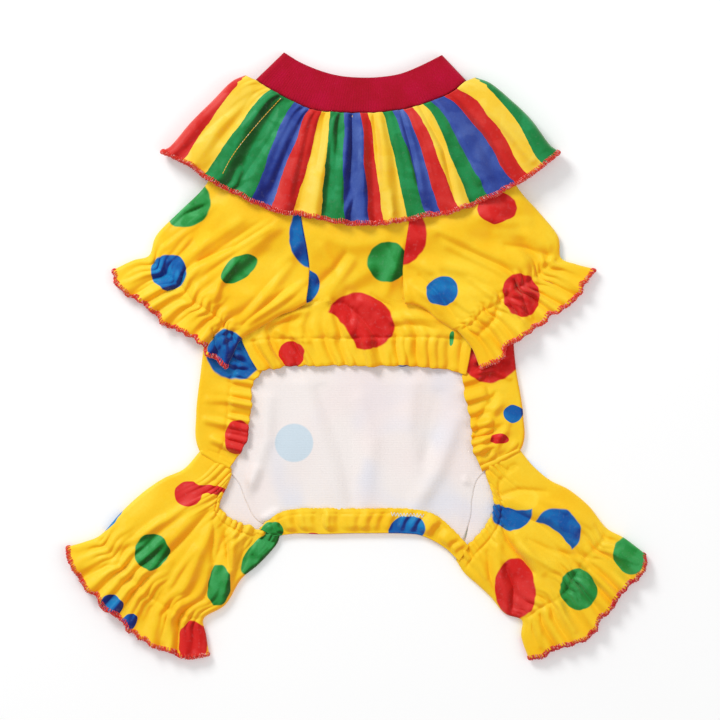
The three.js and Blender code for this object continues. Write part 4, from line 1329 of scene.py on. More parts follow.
def sleeve_right() -> Sleeve:
    """The sleeve at the right of the layout."""
    return Sleeve(
        name="sleeve_right_cloth",
        node="sleeve_right",
        seed=23,
        rails=rows_of(
            LIMB_KEYS,
            (0, 72, 191, 31.5, 39.9, 0, 0),
            (0.12, 85.4, 164.5, 38.5, 39.5, 0.6, 0),
            (0.24, 99.4, 140, 46.9, 35.7, 1.6, 0),
            (0.36, 110.6, 119, 53.9, 29.4, 2.6, 0),
            (0.48, 125, 103, 60, 25.5, 3.6, 0.1),
            (0.6, 138, 86.5, 65, 22.3, 3.6, 0.7),
            (0.72, 140, 71.5, 69.3, 20.3, 2.2, 1.3),
            (0.86, 151, 66.5, 79, 8.5, 2.4, 1.4),
            (1, 164.5, 63, 84.7, -5.6, 2.4, 2.2),
        ),
        root=((72, 191), (60.5, 183.5), *((row["right"], row["at"]) for row in reversed(RAGLAN))),
        hem=(
            (164.5, 63), (158.5, 57), (153, 46.5), (147, 40.5), (140, 35.6), (133, 31.6), (125.5, 26), (115.5, 17.5),
            (103.6, 11), (98, 1.4), (84.7, -5.6),
        ),
        creases=creases_of(
            (1.9, -2.0, 405, 300, 415, 308, 432, 313, 440, 320), (1.7, -1.8, 503, 292, 512, 306, 520, 318),
            (1.7, -1.8, 515, 280, 522, 296, 528, 314), (2.2, -1.6, 480, 334, 494, 320, 500, 300),
            (5.0, 2.0, 432, 228, 470, 248, 520, 264), (2.6, -1.2, 440, 236, 480, 256, 512, 272),
            (4.2, 1.5, 428, 262, 470, 272, 508, 290), (5.0, 1.5, 500, 232, 526, 234, 548, 246),
            (2.2, -1.1, 506, 246, 528, 249, 550, 256), (3.6, 1.5, 410, 262, 436, 272, 452, 300),
            (3.0, 1.7, 412, 284, 432, 300, 447, 322), (2.0, -1.0, 420, 276, 440, 296, 456, 318),
            (2.4, 1.5, 404, 284, 412, 304, 424, 312), (2.0, 1.1, 455, 300, 470, 312, 480, 322),
            (2.4, 1.2, 470, 280, 490, 294, 500, 306), (3.4, 1.1, 480, 216, 505, 224, 528, 222),
            (2.2, 0.8, 446, 246, 484, 264, 520, 282), (2.0, 1.0, 540, 262, 552, 262, 560, 256),
        ),
        dots=(
            Dot(Dye.RED, 399, 234, 28, 32, -0.1),
            Dot(Dye.RED, 497, 208, 20, 15.5, 0.05),
            Dot(Dye.BLUE, 442, 291, 16, 14.5, 0.2),
            Dot(Dye.RED, 521, 295, 18, 22, 0.25),
        ),
    )


def leg_left() -> Leg:
    """The leg at the left of the layout."""
    return Leg(
        name="leg_left_cloth",
        node="leg_left",
        seed=37,
        thread=Dye.THREAD_RED,
        drawn=3.0,
        rails=rows_of(
            LIMB_KEYS,
            (0, -112, -64.9, -56.6, -122.6, 0, 0),
            (0.15, -123, -77, -60, -130, 0.8, 0),
            (0.3, -138, -84, -72, -143, 2.2, 0),
            (0.45, -153, -94.5, -84, -153.3, 3.6, 0.1),
            (0.6, -168, -108.5, -95, -171, 3.8, 0.7),
            (0.74, -181, -123, -110, -180.6, 2.2, 1.3),
            (0.87, -192.5, -128.1, -108.5, -193, 2.4, 1.5),
            (1, -205, -131.6, -106.4, -206.5, 2.4, 2.3),
        ),
        root=(
            (-112, -64.9), (-100, -70.5), (-91, -76), (-92.3, -85), (-97, -95), (-99, -102), (-95, -108),
            (-86.8, -113.5), (-77, -117), (-69, -120), (-56.6, -122.6),
        ),
        under_root=((-112, -64.9), (-98, -76), (-87, -87), (-81, -101), (-74, -113.2), (-64, -120), (-56.6, -122.6)),
        hem=(
            (-205, -131.6), (-203.7, -141.4), (-197, -150), (-192, -159), (-183.4, -166), (-179, -174), (-168, -181),
            (-161, -189.5), (-150.5, -196), (-136.5, -203), (-120, -208.5), (-106.4, -206.5),
        ),
        creases=creases_of(
            (1.8, -2.6, 258, 535, 246, 553, 241, 576), (1.6, -1.6, 278, 528, 284, 537),
            (1.8, -1.8, 265, 539, 275, 551), (1.8, -1.4, 252, 556, 262, 567), (1.7, -2.2, 226, 538, 229, 568),
            (1.9, -1.5, 214, 520, 212, 562), (4.6, 1.9, 200, 508, 175, 535, 142, 558),
            (3.0, 1.3, 194, 500, 166, 520, 140, 536), (2.2, -1.0, 208, 512, 184, 540, 158, 566),
            (4.0, 2.2, 216, 520, 198, 556, 184, 590), (2.2, -1.3, 226, 530, 214, 566, 204, 600),
            (3.0, 2.3, 234, 534, 230, 562, 226, 592), (1.8, -1.0, 246, 540, 238, 566, 236, 582),
            (3.0, 1.2, 170, 560, 150, 572, 132, 574), (2.4, 1.3, 196, 548, 178, 572, 166, 592),
            (2.6, 1.1, 160, 520, 136, 540, 118, 546), (2.6, 1.4, 180, 600, 170, 620, 164, 640),
            (2.4, 1.3, 142, 590, 132, 606, 122, 622), (2.0, 1.2, 100, 603, 112, 616, 125, 630),
            (2.2, 1.2, 118, 560, 104, 572, 88, 580),
        ),
        dots=(
            Dot(Dye.RED, 188, 494, 14.5, 12.5, 0.1),
            Dot(Dye.RED, 207, 489.5, 18, 4.5, -0.05),
            Dot(Dye.GREEN, 152, 551, 17.5, 18.5),
            Dot(Dye.GREEN, 219, 585, 11.5, 20.5, -0.1),
            Dot(Dye.BLUE, 108, 521, 24, 7, 0.8),
            Dot(Dye.BLUE, 111, 605, 11.5, 11, -0.8),
            Dot(Dye.BLUE, 130, 621, 7, 8.5, -0.3),
            Dot(Dye.RED, 193, 643, 13.5, 22, 0.05),
            Dot(Dye.GREEN, 262, 549, 31, 9.5, 0.83),
        ),
    )


def leg_right() -> Leg:
    """The leg at the right of the layout."""
    return Leg(
        name="leg_right_cloth",
        node="leg_right",
        seed=41,
        thread=Dye.THREAD_CRIMSON,
        drawn=2.8,
        rails=rows_of(
            LIMB_KEYS,
            (0, 112, -64.2, 68.6, -141, 0, 0),
            (0.15, 121, -75, 74, -149, 0.8, 0),
            (0.3, 133, -85, 83, -157, 2.2, 0),
            (0.45, 146, -91.5, 92.4, -165.9, 3.6, 0.1),
            (0.6, 160, -103, 102, -177, 3.8, 0.7),
            (0.74, 172.2, -118.3, 114, -182, 2.2, 1.3),
            (0.87, 185, -125.5, 113.8, -194, 2.4, 1.5),
            (1, 199.5, -136.5, 119, -209.3, 2.4, 2.3),
        ),
        root=(
            (112, -64.2), (100, -69.3), (89.6, -74.2), (89, -81), (92.5, -90.5), (94.4, -100.5), (92, -110),
            (86.1, -119.5), (77, -129), (68.6, -141),
        ),
        under_root=((112, -64.2), (96, -75), (83.4, -85), (79.5, -98), (78, -112), (75.6, -127), (68.6, -141)),
        hem=(
            (199.5, -136.5), (200.2, -144), (194, -153.5), (182, -162.4), (177, -171.5), (168, -182), (164, -190),
            (154, -196.7), (136.5, -201.6), (126, -207), (119, -209.3),
        ),
        creases=creases_of(
            (2.0, -2.6, 503, 528, 508, 541, 520, 556, 532, 572), (3.0, 1.5, 496, 536, 500, 552, 512, 572),
            (3.2, 1.7, 516, 536, 528, 552, 542, 572), (2.4, -2.0, 506, 566, 514, 588, 512, 614),
            (1.8, -1.4, 497, 463, 506, 472, 516, 466), (2.2, -1.2, 500, 496, 520, 490, 545, 492),
            (1.8, -1.4, 462, 541, 470, 556), (4.6, 1.7, 513, 500, 540, 512, 575, 530),
            (2.2, -1.0, 506, 508, 536, 522, 562, 542), (3.2, 1.9, 496, 548, 500, 580, 508, 606),
            (2.0, -1.0, 488, 552, 490, 580, 500, 600), (3.0, 1.5, 520, 548, 545, 562, 566, 572),
            (2.2, -0.9, 528, 540, 556, 552, 580, 556), (3.2, 1.2, 540, 500, 570, 512, 590, 524),
            (2.4, 1.5, 530, 610, 538, 630, 540, 645), (2.4, 1.3, 556, 600, 566, 618, 574, 630),
            (2.2, 1.2, 590, 572, 604, 584, 612, 592), (2.2, 1.2, 604, 546, 622, 556, 636, 562),
            (2.2, 1.4, 476, 556, 484, 574, 496, 596),
        ),
        dots=(
            Dot(Dye.BLUE, 556, 532, 24, 24),
            Dot(Dye.YELLOW, 543, 546, 33, 20, -0.62),
            Dot(Dye.BLUE, 512, 511, 20, 19),
            Dot(Dye.YELLOW, 512, 494.5, 28, 14, -0.27),
            Dot(Dye.RED, 515.5, 588, 20.5, 30, 0.1),
            Dot(Dye.GREEN, 578, 589, 18.5, 20.5, 0.2),
            Dot(Dye.GREEN, 629, 556, 15, 19, 0.4),
        ),
    )


# ---- body ----
@dataclass
class ChestPanel(Cloth):
    """The chest: from the neck, between the sleeves, to the elastic casing along the belly opening."""

    flat: tuple[float, float] = (0.152, 0.192)
    area: float = 0.02

    EDGES = rows_of(
        "at leftY rightY wave",
        (0, 181.5, 178.2, 0),
        (0.2, 147, 147, 0),
        (0.33, 122.5, 122.5, 0),
        (0.46, 96.6, 96.6, 0),
        (0.6, 68.6, 68.6, 0),
        (0.7, 41.5, 41, 0),
        (0.76, 31.3, 33, 0),
        (0.82, 18.6, 20, 0.6),
        (0.91, 5, 4, 1.1),
        (1, -8, -10.5, 1.2),
    )
    SIDES = [
        *rows_of(
            "at left right",
            (-16, -66, 72),
            (-8, -70, 73.6),
            (4, -77, 76),
            (18.6, -82, 77.5),
            (27, -74, 69),
            (34, -60, 57),
            (38.5, -47, 45),
        ),
        *RAGLAN,
        {"at": 188, "left": -55, "right": 49},
    ]
    HEM = ((-66.9, -8), (-56, -5.6), (-42, -4.2), (0, -4.2), (28, -4.2), (49, -5.6), (60, -7.5), (70.1, -10.5))
    GATHERS = 13
    PUFF = 4.4  # height of the casing's puffs
    FOLDS = 3.0  # height of the folds that run down to the casing
    GROOVE = 0.9  # depth of the line where the elastic is sewn
    CREASES = creases_of(
        (2.2, -2.2, 334, 303, 352, 310, 364, 322, 374, 336), (3.6, 1.5, 336, 312, 348, 328, 362, 342),
        (3.4, 1.6, 362, 304, 376, 318, 386, 334), (1.8, -1.5, 318, 301, 300, 306, 280, 316),
        (5.5, 1.7, 319, 304, 338, 290, 368, 272), (2.6, -1.2, 345, 255, 334, 270, 320, 283),
        (3.4, 1.4, 352, 262, 342, 276, 326, 292), (3.0, 1.8, 305, 311, 290, 312, 272, 321),
        (1.8, -0.9, 300, 320, 284, 322, 270, 330), (3.0, 1.9, 328, 302, 330, 318, 336, 336),
        (2.6, 1.4, 350, 296, 356, 316, 352, 334), (3.2, 1.6, 362, 300, 378, 308, 392, 322),
        (1.8, -0.9, 372, 296, 388, 306, 398, 316), (3.2, 1.7, 395, 318, 416, 316, 438, 319),
        (1.8, -0.9, 392, 326, 416, 325, 436, 329), (4.0, 1.2, 400, 250, 392, 276, 386, 292),
        (5.0, 0.9, 316, 232, 350, 246, 384, 240), (3.0, 0.8, 322, 246, 334, 268, 344, 284),
        (2.4, 1.3, 276, 330, 290, 336, 306, 340),
    )
    DOTS = (
        Dot(Dye.RED, 361, 321, 34, 27, -0.35),
        Dot(Dye.YELLOW, 323, 346, 44, 30, -0.91),
        Dot(Dye.BLUE, 302, 286, 18, 17, 0.4),
        Dot(Dye.GREEN, 387, 262, 20, 20),
        Dot(Dye.RED, 292, 354, 13.5, 13),
        Dot(Dye.BLUE, 404, 368, 8, 3),
        Dot(Dye.GREEN, 452, 339, 2.5, 7, -0.2),
    )

    def surface(self) -> Place:
        """Mid-surface of the chest at (v, t), mm."""
        left_seam, right_seam = column_of(self.SIDES, "left"), column_of(self.SIDES, "right")
        left_y, right_y = column_of(self.EDGES, "leftY"), column_of(self.EDGES, "rightY")

        def tucked(y: float) -> float:
            """How far the panel passes under a sleeve."""
            return 1.2 + 2.6 * smooth(58, 48, y) * smooth(26, 34, y)

        def left(t: float) -> Point:
            """Left seam."""
            return left_seam(left_y(t)) - tucked(left_y(t)), left_y(t)

        def right(t: float) -> Point:
            """Right seam."""
            return right_seam(right_y(t)) + tucked(right_y(t)), right_y(t)

        neck = edge_of([left(0), *((x, y - SEAM - 0.7) for x, y in NECK_SEAM[3:8]), right(0)])
        shape = layout(neck, edge_of(self.HEM), left, right)
        wave, relief = column_of(self.EDGES, "wave"), Relief(self.CREASES)
        pleats, folds = Gathers(22, 5, 2.4, 0.4), Gathers(15, 6, 2.0, 0.36)

        def place(v: float, t: float) -> Vector:
            """Point of the chest."""
            x, y = shape(v, t)
            sides = min(1.0, 5 * v, 5 * (1 - v))
            gathers = wave(t) * (1 + waves(v, self.GATHERS, 0.8)) * 0.75
            casing = smooth(0.83, 0.88, t)
            fine = casing * self.PUFF * (pleats.at(v + 0.006 * math.sin(30 * t)) - 0.4)
            above = smooth(0.74, 0.84, t) * (1 - 0.6 * casing)
            fine += above * self.FOLDS * (folds.at(v + 0.01 * math.sin(20 * t)) - 0.2)
            fine -= self.GROOVE * bell(t - 0.862, 0.008) + 0.7 * smooth(0.985, 1.0, t)
            lying = 0.8 * wander(x, y, 24, 3.1) + 0.3 * wander(x, y, 8, 9.4)
            inset = within(v, 0.05)
            beside = OVER_BACK * smooth(48, 66, y)
            z = back_level(x, y) + PITCH + beside + sides * gathers
            z += 2.1 * smooth(24, 14, y) * (1 - inset)
            z += inset * (1.6 * relief.at(x, y) * smooth(1.0, 0.86, t) + fine + lying * smooth(0.1, 0.3, t))
            seam = bell(min(v, 1 - v), 0.02) * smooth(0.74, 0.68, t)
            y += 1.2 * smooth(0.93, 1.0, t) * inset * (0.5 - pleats.at(v))
            return Vector((x, y, max(z - 0.45 * seam, back_level(x, y) + 1.75)))

        return place

    def build(self, shop: Workshop) -> Piece:
        """Builds the chest.

        Args:
            shop: the shared shader groups.

        Returns:
            The piece.
        """
        place = self.surface()
        rows = joined(spread(0, 0.45, 26), spread(0.45, 0.8, 48), spread(0.8, 1, 34))
        mesh = self.weave(spread(0, 1, 200), rows, place)
        self.settle(mesh, True, (0, 60))
        piece = self.finish(mesh, shop.dotted("chest_plush", self.DOTS), shop.wrong_side("chest_inside"))
        return piece


@dataclass
class BackPanel(Cloth):
    """The flat back, whose sides fold over to the belly side as strips drawn up by the opening's elastic."""

    flat: tuple[float, float] = (0.3, 0.33)
    area: float = 0.072

    SIDES = [
        *rows_of(
            "at leftX leftY rightX rightY",
            (0, -54, -121, 66.8, -139.7),
            (0.05, -72.6, -111.8, 77.1, -112),
            (0.09, -79.6, -100, 78.6, -98),
            (0.13, -85.6, -85.7, 82.6, -83.6),
            (0.17, -96.8, -74.6, 94.8, -73.5),
            (0.22, -112, -63.2, 112, -62.5),
            (0.34, -114.1, -38, 113.6, -38),
            (0.48, -110.5, -5, 108.5, -5),
            (0.6, -107.5, 24, 106.5, 24),
            (0.67, -107.3, 50, 108, 50),
            (0.71, -107.6, 64, 108.8, 64),
        ),
        *(
            {
                "at": mix(0.71, 1, (row["at"] - 64) / (180 - 64)),
                "leftX": row["left"] + SEAM,
                "leftY": row["at"],
                "rightX": row["right"] - SEAM,
                "rightY": row["at"],
            }
            for row in BACK_RAGLAN[1:]
        ),
    ]
    START = 0.22
    END = 0.62
    STRIPS = rows_of(
        "at leftX leftY rightX rightY",
        (0.22, -90, -73.8, 84, -74.4),
        (0.27, -80.5, -60, 78.6, -62),
        (0.33, -77.7, -46, 78, -48),
        (0.4, -76, -30, 75, -32),
        (0.46, -74.6, -15, 72, -17),
        (0.5, -68.4, -7.5, 71.6, -9.5),
        (0.55, -75, 5, 73.4, 5),
        (0.59, -80, 16.5, 74.6, 17),
        (0.62, -84, 26, 78, 26),
    )
    GATHERS = 8
    WAVE = 0.9
    PUFF = 4.2  # height of the casing's puffs
    FOLDS = 2.8  # height of the folds that run to the casing
    GROOVE = 0.8  # depth of the line where the elastic is sewn
    FOLD = 0.12  # share of a strip that its rounded fold takes
    LAP = 0.012  # share of the length that a strip passes beyond the leg's root
    HEM = ((-54, -121), (-28, -122.5), (0, -121.8), (38.5, -122.5), (49, -126), (60, -132.6), (66.8, -139.7))
    INSIDE = creases_of(
        (7.0, 0.9, 300, 378, 318, 430, 340, 505), (5.0, -0.6, 322, 390, 344, 440, 352, 500),
        (7.0, 0.9, 412, 384, 408, 430, 420, 490), (4.0, -0.5, 440, 395, 432, 430, 424, 460),
        (6.0, 1.0, 456, 420, 438, 470, 415, 510), (5.0, 0.9, 268, 400, 266, 440, 252, 480),
        (3.4, 1.3, 256, 470, 244, 500, 236, 516), (1.5, 1.1, 240, 486, 228, 498, 218, 504),
        (1.6, 1.3, 466, 541, 470, 520, 473, 500, 472, 485, 465, 480), (1.5, 1.2, 475, 487, 484, 498, 493, 510),
        (6.0, 0.6, 360, 400, 372, 440, 366, 500), (2.0, 1.1, 276, 512, 262, 520, 248, 528),
    )
    STRIP_CREASES = creases_of(
        (2.4, 1.6, 214, 440, 230, 446, 246, 450), (1.8, -1.0, 210, 452, 228, 458, 242, 460),
        (2.4, 1.6, 212, 464, 226, 470, 236, 470), (2.2, 1.2, 208, 480, 222, 484, 232, 484),
        (2.6, 1.2, 206, 420, 228, 424, 246, 430), (2.8, 1.0, 208, 400, 230, 400, 248, 404),
        (3.0, 1.5, 214, 346, 236, 352, 262, 366), (2.2, -0.9, 218, 332, 240, 340, 264, 352),
        (2.4, 1.4, 222, 360, 240, 366, 258, 376), (3.0, 1.3, 500, 400, 486, 430, 477, 470),
        (2.4, 1.2, 508, 424, 494, 450, 484, 476), (2.0, -0.9, 496, 392, 480, 416, 474, 440),
        (2.4, 1.2, 516, 444, 504, 462, 492, 482), (3.0, 1.4, 470, 356, 490, 352, 512, 362),
        (2.0, 1.1, 474, 372, 492, 370, 510, 378),
    )
    DOTS = (
        Dot(Dye.BLUE, 236, 350, 30, 30),
        Dot(Dye.RED, 238, 437, 14, 16.5),
        Dot(Dye.RED, 490, 353, 30, 30),
        Dot(Dye.BLUE, 513, 414, 9.5, 8.5),
        Dot(Dye.RED, 499, 439, 10, 5),
        Dot(Dye.GREEN, 452, 340, 12, 6),
    )

    def surface(self) -> Place:
        """Mid-surface at (v, t), mm: v is 0 to 1 over the flat back, -1 to 0 and 1 to 2 over the two strips."""
        neck = edge_of([(-61.7, 180), *((x, y - SEAM - 0.7) for x, y in NECK_SEAM[3:-4]), (63.1, 180)])
        left, right = rail(self.SIDES, "leftX", "leftY"), rail(self.SIDES, "rightX", "rightY")
        tips = rail(self.STRIPS, "leftX", "leftY"), rail(self.STRIPS, "rightX", "rightY")
        shape = layout(edge_of(self.HEM), neck, left, right)
        radius = PITCH / 2
        inside, folds = Relief(self.INSIDE), Relief(self.STRIP_CREASES)
        pleats = Gathers(16, 8, 2.4, 0.4), Gathers(15, 9, 2.4, 0.4)
        long_folds = Gathers(9, 18, 1.9, 0.36), Gathers(8, 19, 1.9, 0.36)

        def place(v: float, t: float) -> Vector:
            """Point of the back."""
            stripped = smooth(self.START - 0.02, self.START, t) * smooth(self.END + 0.03, self.END, t)
            inset = radius * stripped / math.dist(left(t), right(t))
            if 0 <= v <= 1:
                x, y = shape(mix(inset, 1 - inset, v), t)
                rim = within(v, 0.06) * smooth(0.0, 0.05, t) * smooth(1.0, 0.9, t)
                open_part = smooth(-8, -18, y) * smooth(92, 74, abs(x))
                soft = 0.5 + 0.5 * wander(x, y, 30, 4.2)
                lift = rim * (open_part * (3.2 * inside.at(x, y) + 1.5 * soft) + 0.1 * soft)
                return Vector((x, y, back_level(x, y) + max(0.0, lift)))
            if t < self.START:
                near = place(v, self.START)
                away = near - place(v, self.START + 0.012)
                away.z = 0
                slip = (self.START - t) / self.LAP
                roll = 1.4 * math.sin(math.pi * slip) - 1.1 * slip
                reach = (3.8 + 1.6 * wander(near.x, 0, 7, 5.5)) * slip
                return near + away.normalized() * reach + Vector((0, 0, roll))
            side = 0 if v < 0 else 1
            out, inward = (-v, 1) if v < 0 else (v - 1, -1)
            if out < self.FOLD:
                angle = out / self.FOLD * math.pi - math.pi / 2
                x, y = shape(side + inward * inset * (1 - math.cos(angle)), t)
                return Vector((x, y, FLOOR + radius * (1 + math.sin(angle))))
            q = (out - self.FOLD) / (1 - self.FOLD)
            a, b = shape(side + inward * inset, t), tips[side](t)
            x, y = mix(a[0], b[0], q), mix(a[1], b[1], q)
            along = (t - self.START) / (self.END - self.START)
            gathered = smooth(0.3, 0.9, q) * smooth(0.85, 0.72, along) * smooth(0, 0.06, along)
            rise = gathered * self.WAVE * (1 + waves(along, self.GATHERS, 0.2 if side == 0 else 1.4))
            rim = smooth(0.0, 0.12, q)
            casing = smooth(0.5, 0.66, q)
            puff = pleats[side].at(along + 0.02 * q)
            fine = casing * self.PUFF * (puff - 0.35)
            beside = smooth(0.1, 0.5, q) * (1 - 0.5 * casing)
            fine += beside * self.FOLDS * (long_folds[side].at(along + 0.05 * q) - 0.3)
            x += 1.5 * inward * smooth(0.6, 1.0, q) * smooth(0.0, 0.08, along) * (puff - 0.5)
            fine -= self.GROOVE * bell(q - 0.56, 0.035)
            lying = 0.6 * wander(x, y, 18, 6.5) + 0.3 * wander(x, y, 7, 2.5)
            covered = smooth(0.57, 0.7, along) * smooth(0.6, 0.8, q)
            ends = smooth(-0.01, 0.05, along) * (1 - covered)
            z = FLOOR + PITCH + rise + rim * ends * (fine + 1.9 * folds.at(x, y) + lying)
            return Vector((x, y, max(z, FLOOR + 1.8)))

        return place

    def build(self, shop: Workshop) -> Piece:
        """Builds the back with its strips.

        Args:
            shop: the shared shader groups.

        Returns:
            The piece.
        """
        place = self.surface()
        strip_rows = spread(self.START, self.END, 150)
        rows = joined(spread(0, self.START, 40), strip_rows, spread(self.END, 1, 40))
        mesh = self.weave(spread(0, 1, 110), rows, place, hidden=lambda v: True)
        strip = joined(spread(0, self.FOLD, 6), spread(self.FOLD, 1, 34))
        strip_rows = joined(spread(self.START - self.LAP, self.START, 7), strip_rows)
        for columns in ([-k for k in reversed(strip)], [1 + k for k in strip]):
            side = self.weave(columns, strip_rows, place, hidden=lambda v: abs(v - 0.5) < 0.5 + self.FOLD / 2)
            kept = bpy.data.meshes.new("strip")
            side.to_mesh(kept)
            side.free()
            mesh.from_mesh(kept)
            bpy.data.meshes.remove(kept)
        self.settle(mesh, False, (0, 0))
        box = (205, 110, 515, 535)
        round_folds = tuple(replace(dot, hidden=True) for dot in self.DOTS[::2])
        dots = self.DOTS + round_folds + scattered_dots(box, 22, 77, round_folds)
        stains = ((Dye.BLUE, 294, 443, 19),)
        piece = self.finish(mesh, shop.dotted("back_plush", dots), shop.wrong_side("back_inside", stains))
        return piece


@dataclass
class RumpHem(Cloth):
    """The back's lower edge, turned up over an elastic and overlocked along its top."""

    flat: tuple[float, float] = (0.14, 0.018)

    TOP = (
        (-70.8, -118), (-60, -109), (-50, -105.2), (-35, -103.8), (0, -104.3), (23, -103.8), (45, -105.8), (58, -112),
        (66, -120), (76.5, -130.5),
    )
    FOLD = (
        (-60.5, -123.6), (-44, -121.6), (-28, -122), (0, -121.4), (38.5, -122), (49, -125.5), (60, -132),
        (69.5, -141),
    )
    GATHERS = 9
    WAVE = 0.35
    PUFF = 3.6  # height of the pleats over the elastic
    GROOVE = 0.5  # depth of the line where the elastic is sewn
    DOTS = (Dot(Dye.BLUE, 407, 529, 19, 13, 0.1), Dot(Dye.RED, 313, 536, 6, 3.5), Dot(Dye.GREEN, 271, 532, 12, 10, 0.4))

    def surface(self) -> Place:
        """Mid-surface of the hem at (v, t), mm."""
        fold, top = edge_of(self.FOLD), edge_of(self.TOP)
        shape = layout(fold, top, straight(self.FOLD[0], self.TOP[0]), straight(self.FOLD[-1], self.TOP[-1]))
        pleats, ragged = Gathers(19, 12, 2.0, 0.37), Gathers(60, 13, 2.0)

        def place(v: float, t: float) -> Vector:
            """Point of the hem."""
            x, y = shape(v, t)
            rise = self.WAVE * (1 + waves(clamp01(v), self.GATHERS, 2)) * smooth(0, 0.4, t)
            ends = within(v, 0.04)
            fine = self.PUFF * smooth(0.05, 0.35, t) * smooth(1.05, 0.7, t)
            fine *= pleats.at(v + 0.012 * math.sin(5 * t)) - 0.1
            fine -= self.GROOVE * bell(t - 0.78, 0.05)
            jag = 0.7 * smooth(0.85, 1.0, t) * (ragged.at(v) - 0.5)
            over = 1.3 * (1 - smooth(0.0, 0.06, v) * smooth(1.0, 0.93, v))
            return Vector((x, y + jag, FLOOR + PLUSH + SEAM + 0.15 + over + max(0.0, rise + ends * fine)))

        return place

    def build(self, shop: Workshop) -> Piece:
        """Builds the hem.

        Args:
            shop: the shared shader groups.

        Returns:
            The piece.
        """
        mesh = self.weave(spread(0, 1, 260), spread(0, 1, 26), self.surface())
        self.settle(mesh, True, (0, -112))
        piece = self.finish(mesh, shop.dotted("rump_plush", self.DOTS), shop.wrong_side("rump_inside"))
        return piece


# ---- ruffle ----
@dataclass
class RuffleCollar(Cloth):
    """A striped strip gathered to the neck seam all round, so that it lies over and under the body."""

    flat: tuple[float, float] = (0.62, 0.08)

    WAVES = 14
    SIDES = rows_of(
        "at leftX leftY rightX rightY low high wave",
        (0, -80, 198.5, 80.5, 197, 3.2, 12.9, 0.5),
        (0.15, -89.6, 194, 91, 193, 2.2, 14.1, 0.9),
        (0.35, -103, 180.5, 105, 181.5, 1.2, 15.1, 1.5),
        (0.6, -118, 165.5, 119, 168, 0.8, 15.5, 1.9),
        (0.85, -131.6, 149.5, 132, 150.5, 0.8, 15.3, 2.1),
        (1, -138.5, 145.5, 139.3, 145, 0.8, 15, 2.3),
    )
    HEM = (
        (-138.5, 145.5), (-119, 136), (-105, 125.5), (-84, 114.8), (-60, 104), (-35, 100), (-10, 95.5), (14, 95),
        (42, 99.5), (66.5, 104), (98, 117), (119, 129), (139.3, 145),
    )
    # Columns of the plan where one stripe ends and the next begins, at the neck and at the hem.
    NECK_STRIPES = (243, 268, 281, 292, 308, 320, 329, 343, 360, 368, 383, 393, 404, 413, 425, 433, 447, 460, 475)
    HEM_STRIPES = (180, 200, 220, 247, 270, 292, 320, 343, 368, 385, 410, 428, 443, 460, 472, 490, 518, 530, 545)
    CREASES = creases_of(
        (2.2, -1.6, 326, 114, 322, 142, 317, 172), (2.2, 1.3, 334, 114, 334, 140, 333, 165),
        (2.0, -1.6, 352, 114, 352, 146, 350, 180), (2.4, 1.4, 361, 114, 362, 150, 364, 190),
        (2.0, -1.7, 374, 114, 378, 146, 380, 176), (2.2, 1.4, 390, 113, 398, 150, 404, 196),
        (1.9, -1.8, 400, 112, 409, 145, 418, 186), (2.2, 1.4, 410, 110, 424, 146, 434, 186),
        (2.2, -2.2, 420, 108, 443, 150, 455, 202), (3.0, 1.8, 436, 101, 460, 140, 478, 182),
        (2.2, -1.5, 450, 95, 486, 140, 508, 176), (3.2, 1.6, 462, 88, 500, 124, 532, 160),
        (3.0, 1.1, 300, 108, 286, 142, 268, 186), (2.2, -0.9, 290, 104, 270, 140, 246, 176),
        (4.0, 1.3, 272, 95, 240, 130, 205, 166), (2.6, -0.9, 262, 86, 222, 118, 186, 150),
        (2.4, -1.0, 314, 112, 304, 150, 294, 196), (2.4, 1.4, 240, 172, 236, 184, 226, 194),
        (2.2, 1.6, 352, 196, 346, 212, 344, 226), (2.2, 1.2, 390, 196, 392, 212, 388, 224),
        (2.2, 1.2, 180, 146, 172, 156, 166, 160),
    )

    def shape(self) -> Layout:
        """Flat layout of the ruffle."""
        ends = [(self.SIDES[0][side + "X"], self.SIDES[0][side + "Y"]) for side in ("left", "right")]
        neck = edge_of([ends[0], *((x, y - SEAM - 0.2) for x, y in NECK_SEAM), ends[1]])
        left, right = rail(self.SIDES, "leftX", "leftY"), rail(self.SIDES, "rightX", "rightY")
        return layout(neck, edge_of(self.HEM), left, right)

    def surface(self) -> Place:
        """Mid-surface of the ruffle at (v, t), mm."""
        shape = self.shape()
        low, high, wave = (column_of(self.SIDES, key) for key in ("low", "high", "wave"))
        left, right = rail(self.SIDES, "leftX", "leftY"), rail(self.SIDES, "rightX", "rightY")
        relief = Relief(self.CREASES)
        shirring, lettuce = Gathers(30, 21, 1.8), Gathers(34, 22, 2.0)
        back_shirring, back_lettuce = Gathers(42, 23, 1.5), Gathers(45, 24, 2.0)

        def place(v: float, t: float) -> Vector:
            """Point of the ruffle."""
            s, front = ring_place(v, 5 / math.dist(left(t), right(t)))
            x, y = shape(s, t)
            ripple = waves(s, self.WAVES, 0.4) * wave(t) * min(1.0, 8 * s, 8 * (1 - s))
            ends = clamp01(16 * s) * clamp01(16 * (1 - s))
            drawn = smooth(0.42, 0.0, t)
            under = max(STRIPED / 2, low(t)) + 0.5 * (wave(t) + ripple) * smooth(0, 0.4, t)
            under += ends * (0.7 * drawn * back_shirring.at(s) + 0.4 * smooth(0.86, 1, t) * back_lettuce.at(s))
            over = high(t) + ripple
            y += 1.3 * smooth(0.9, 1.0, t) * ends * (lettuce.at(s) - 0.4) * front
            fine = 1.6 * drawn * smooth(-0.02, 0.05, t) * (shirring.at(s + 0.01 * math.sin(5 * t)) - 0.4)
            fine += 1.6 * smooth(0.88, 1.0, t) * (lettuce.at(s) - 0.35)
            fine += 1.3 * relief.at(x, y) + 0.7 * wander(x, y, 16, 7.7)
            return Vector((x, y, mix(under, max(over + ends * fine, under + 1.6), front)))

        return place

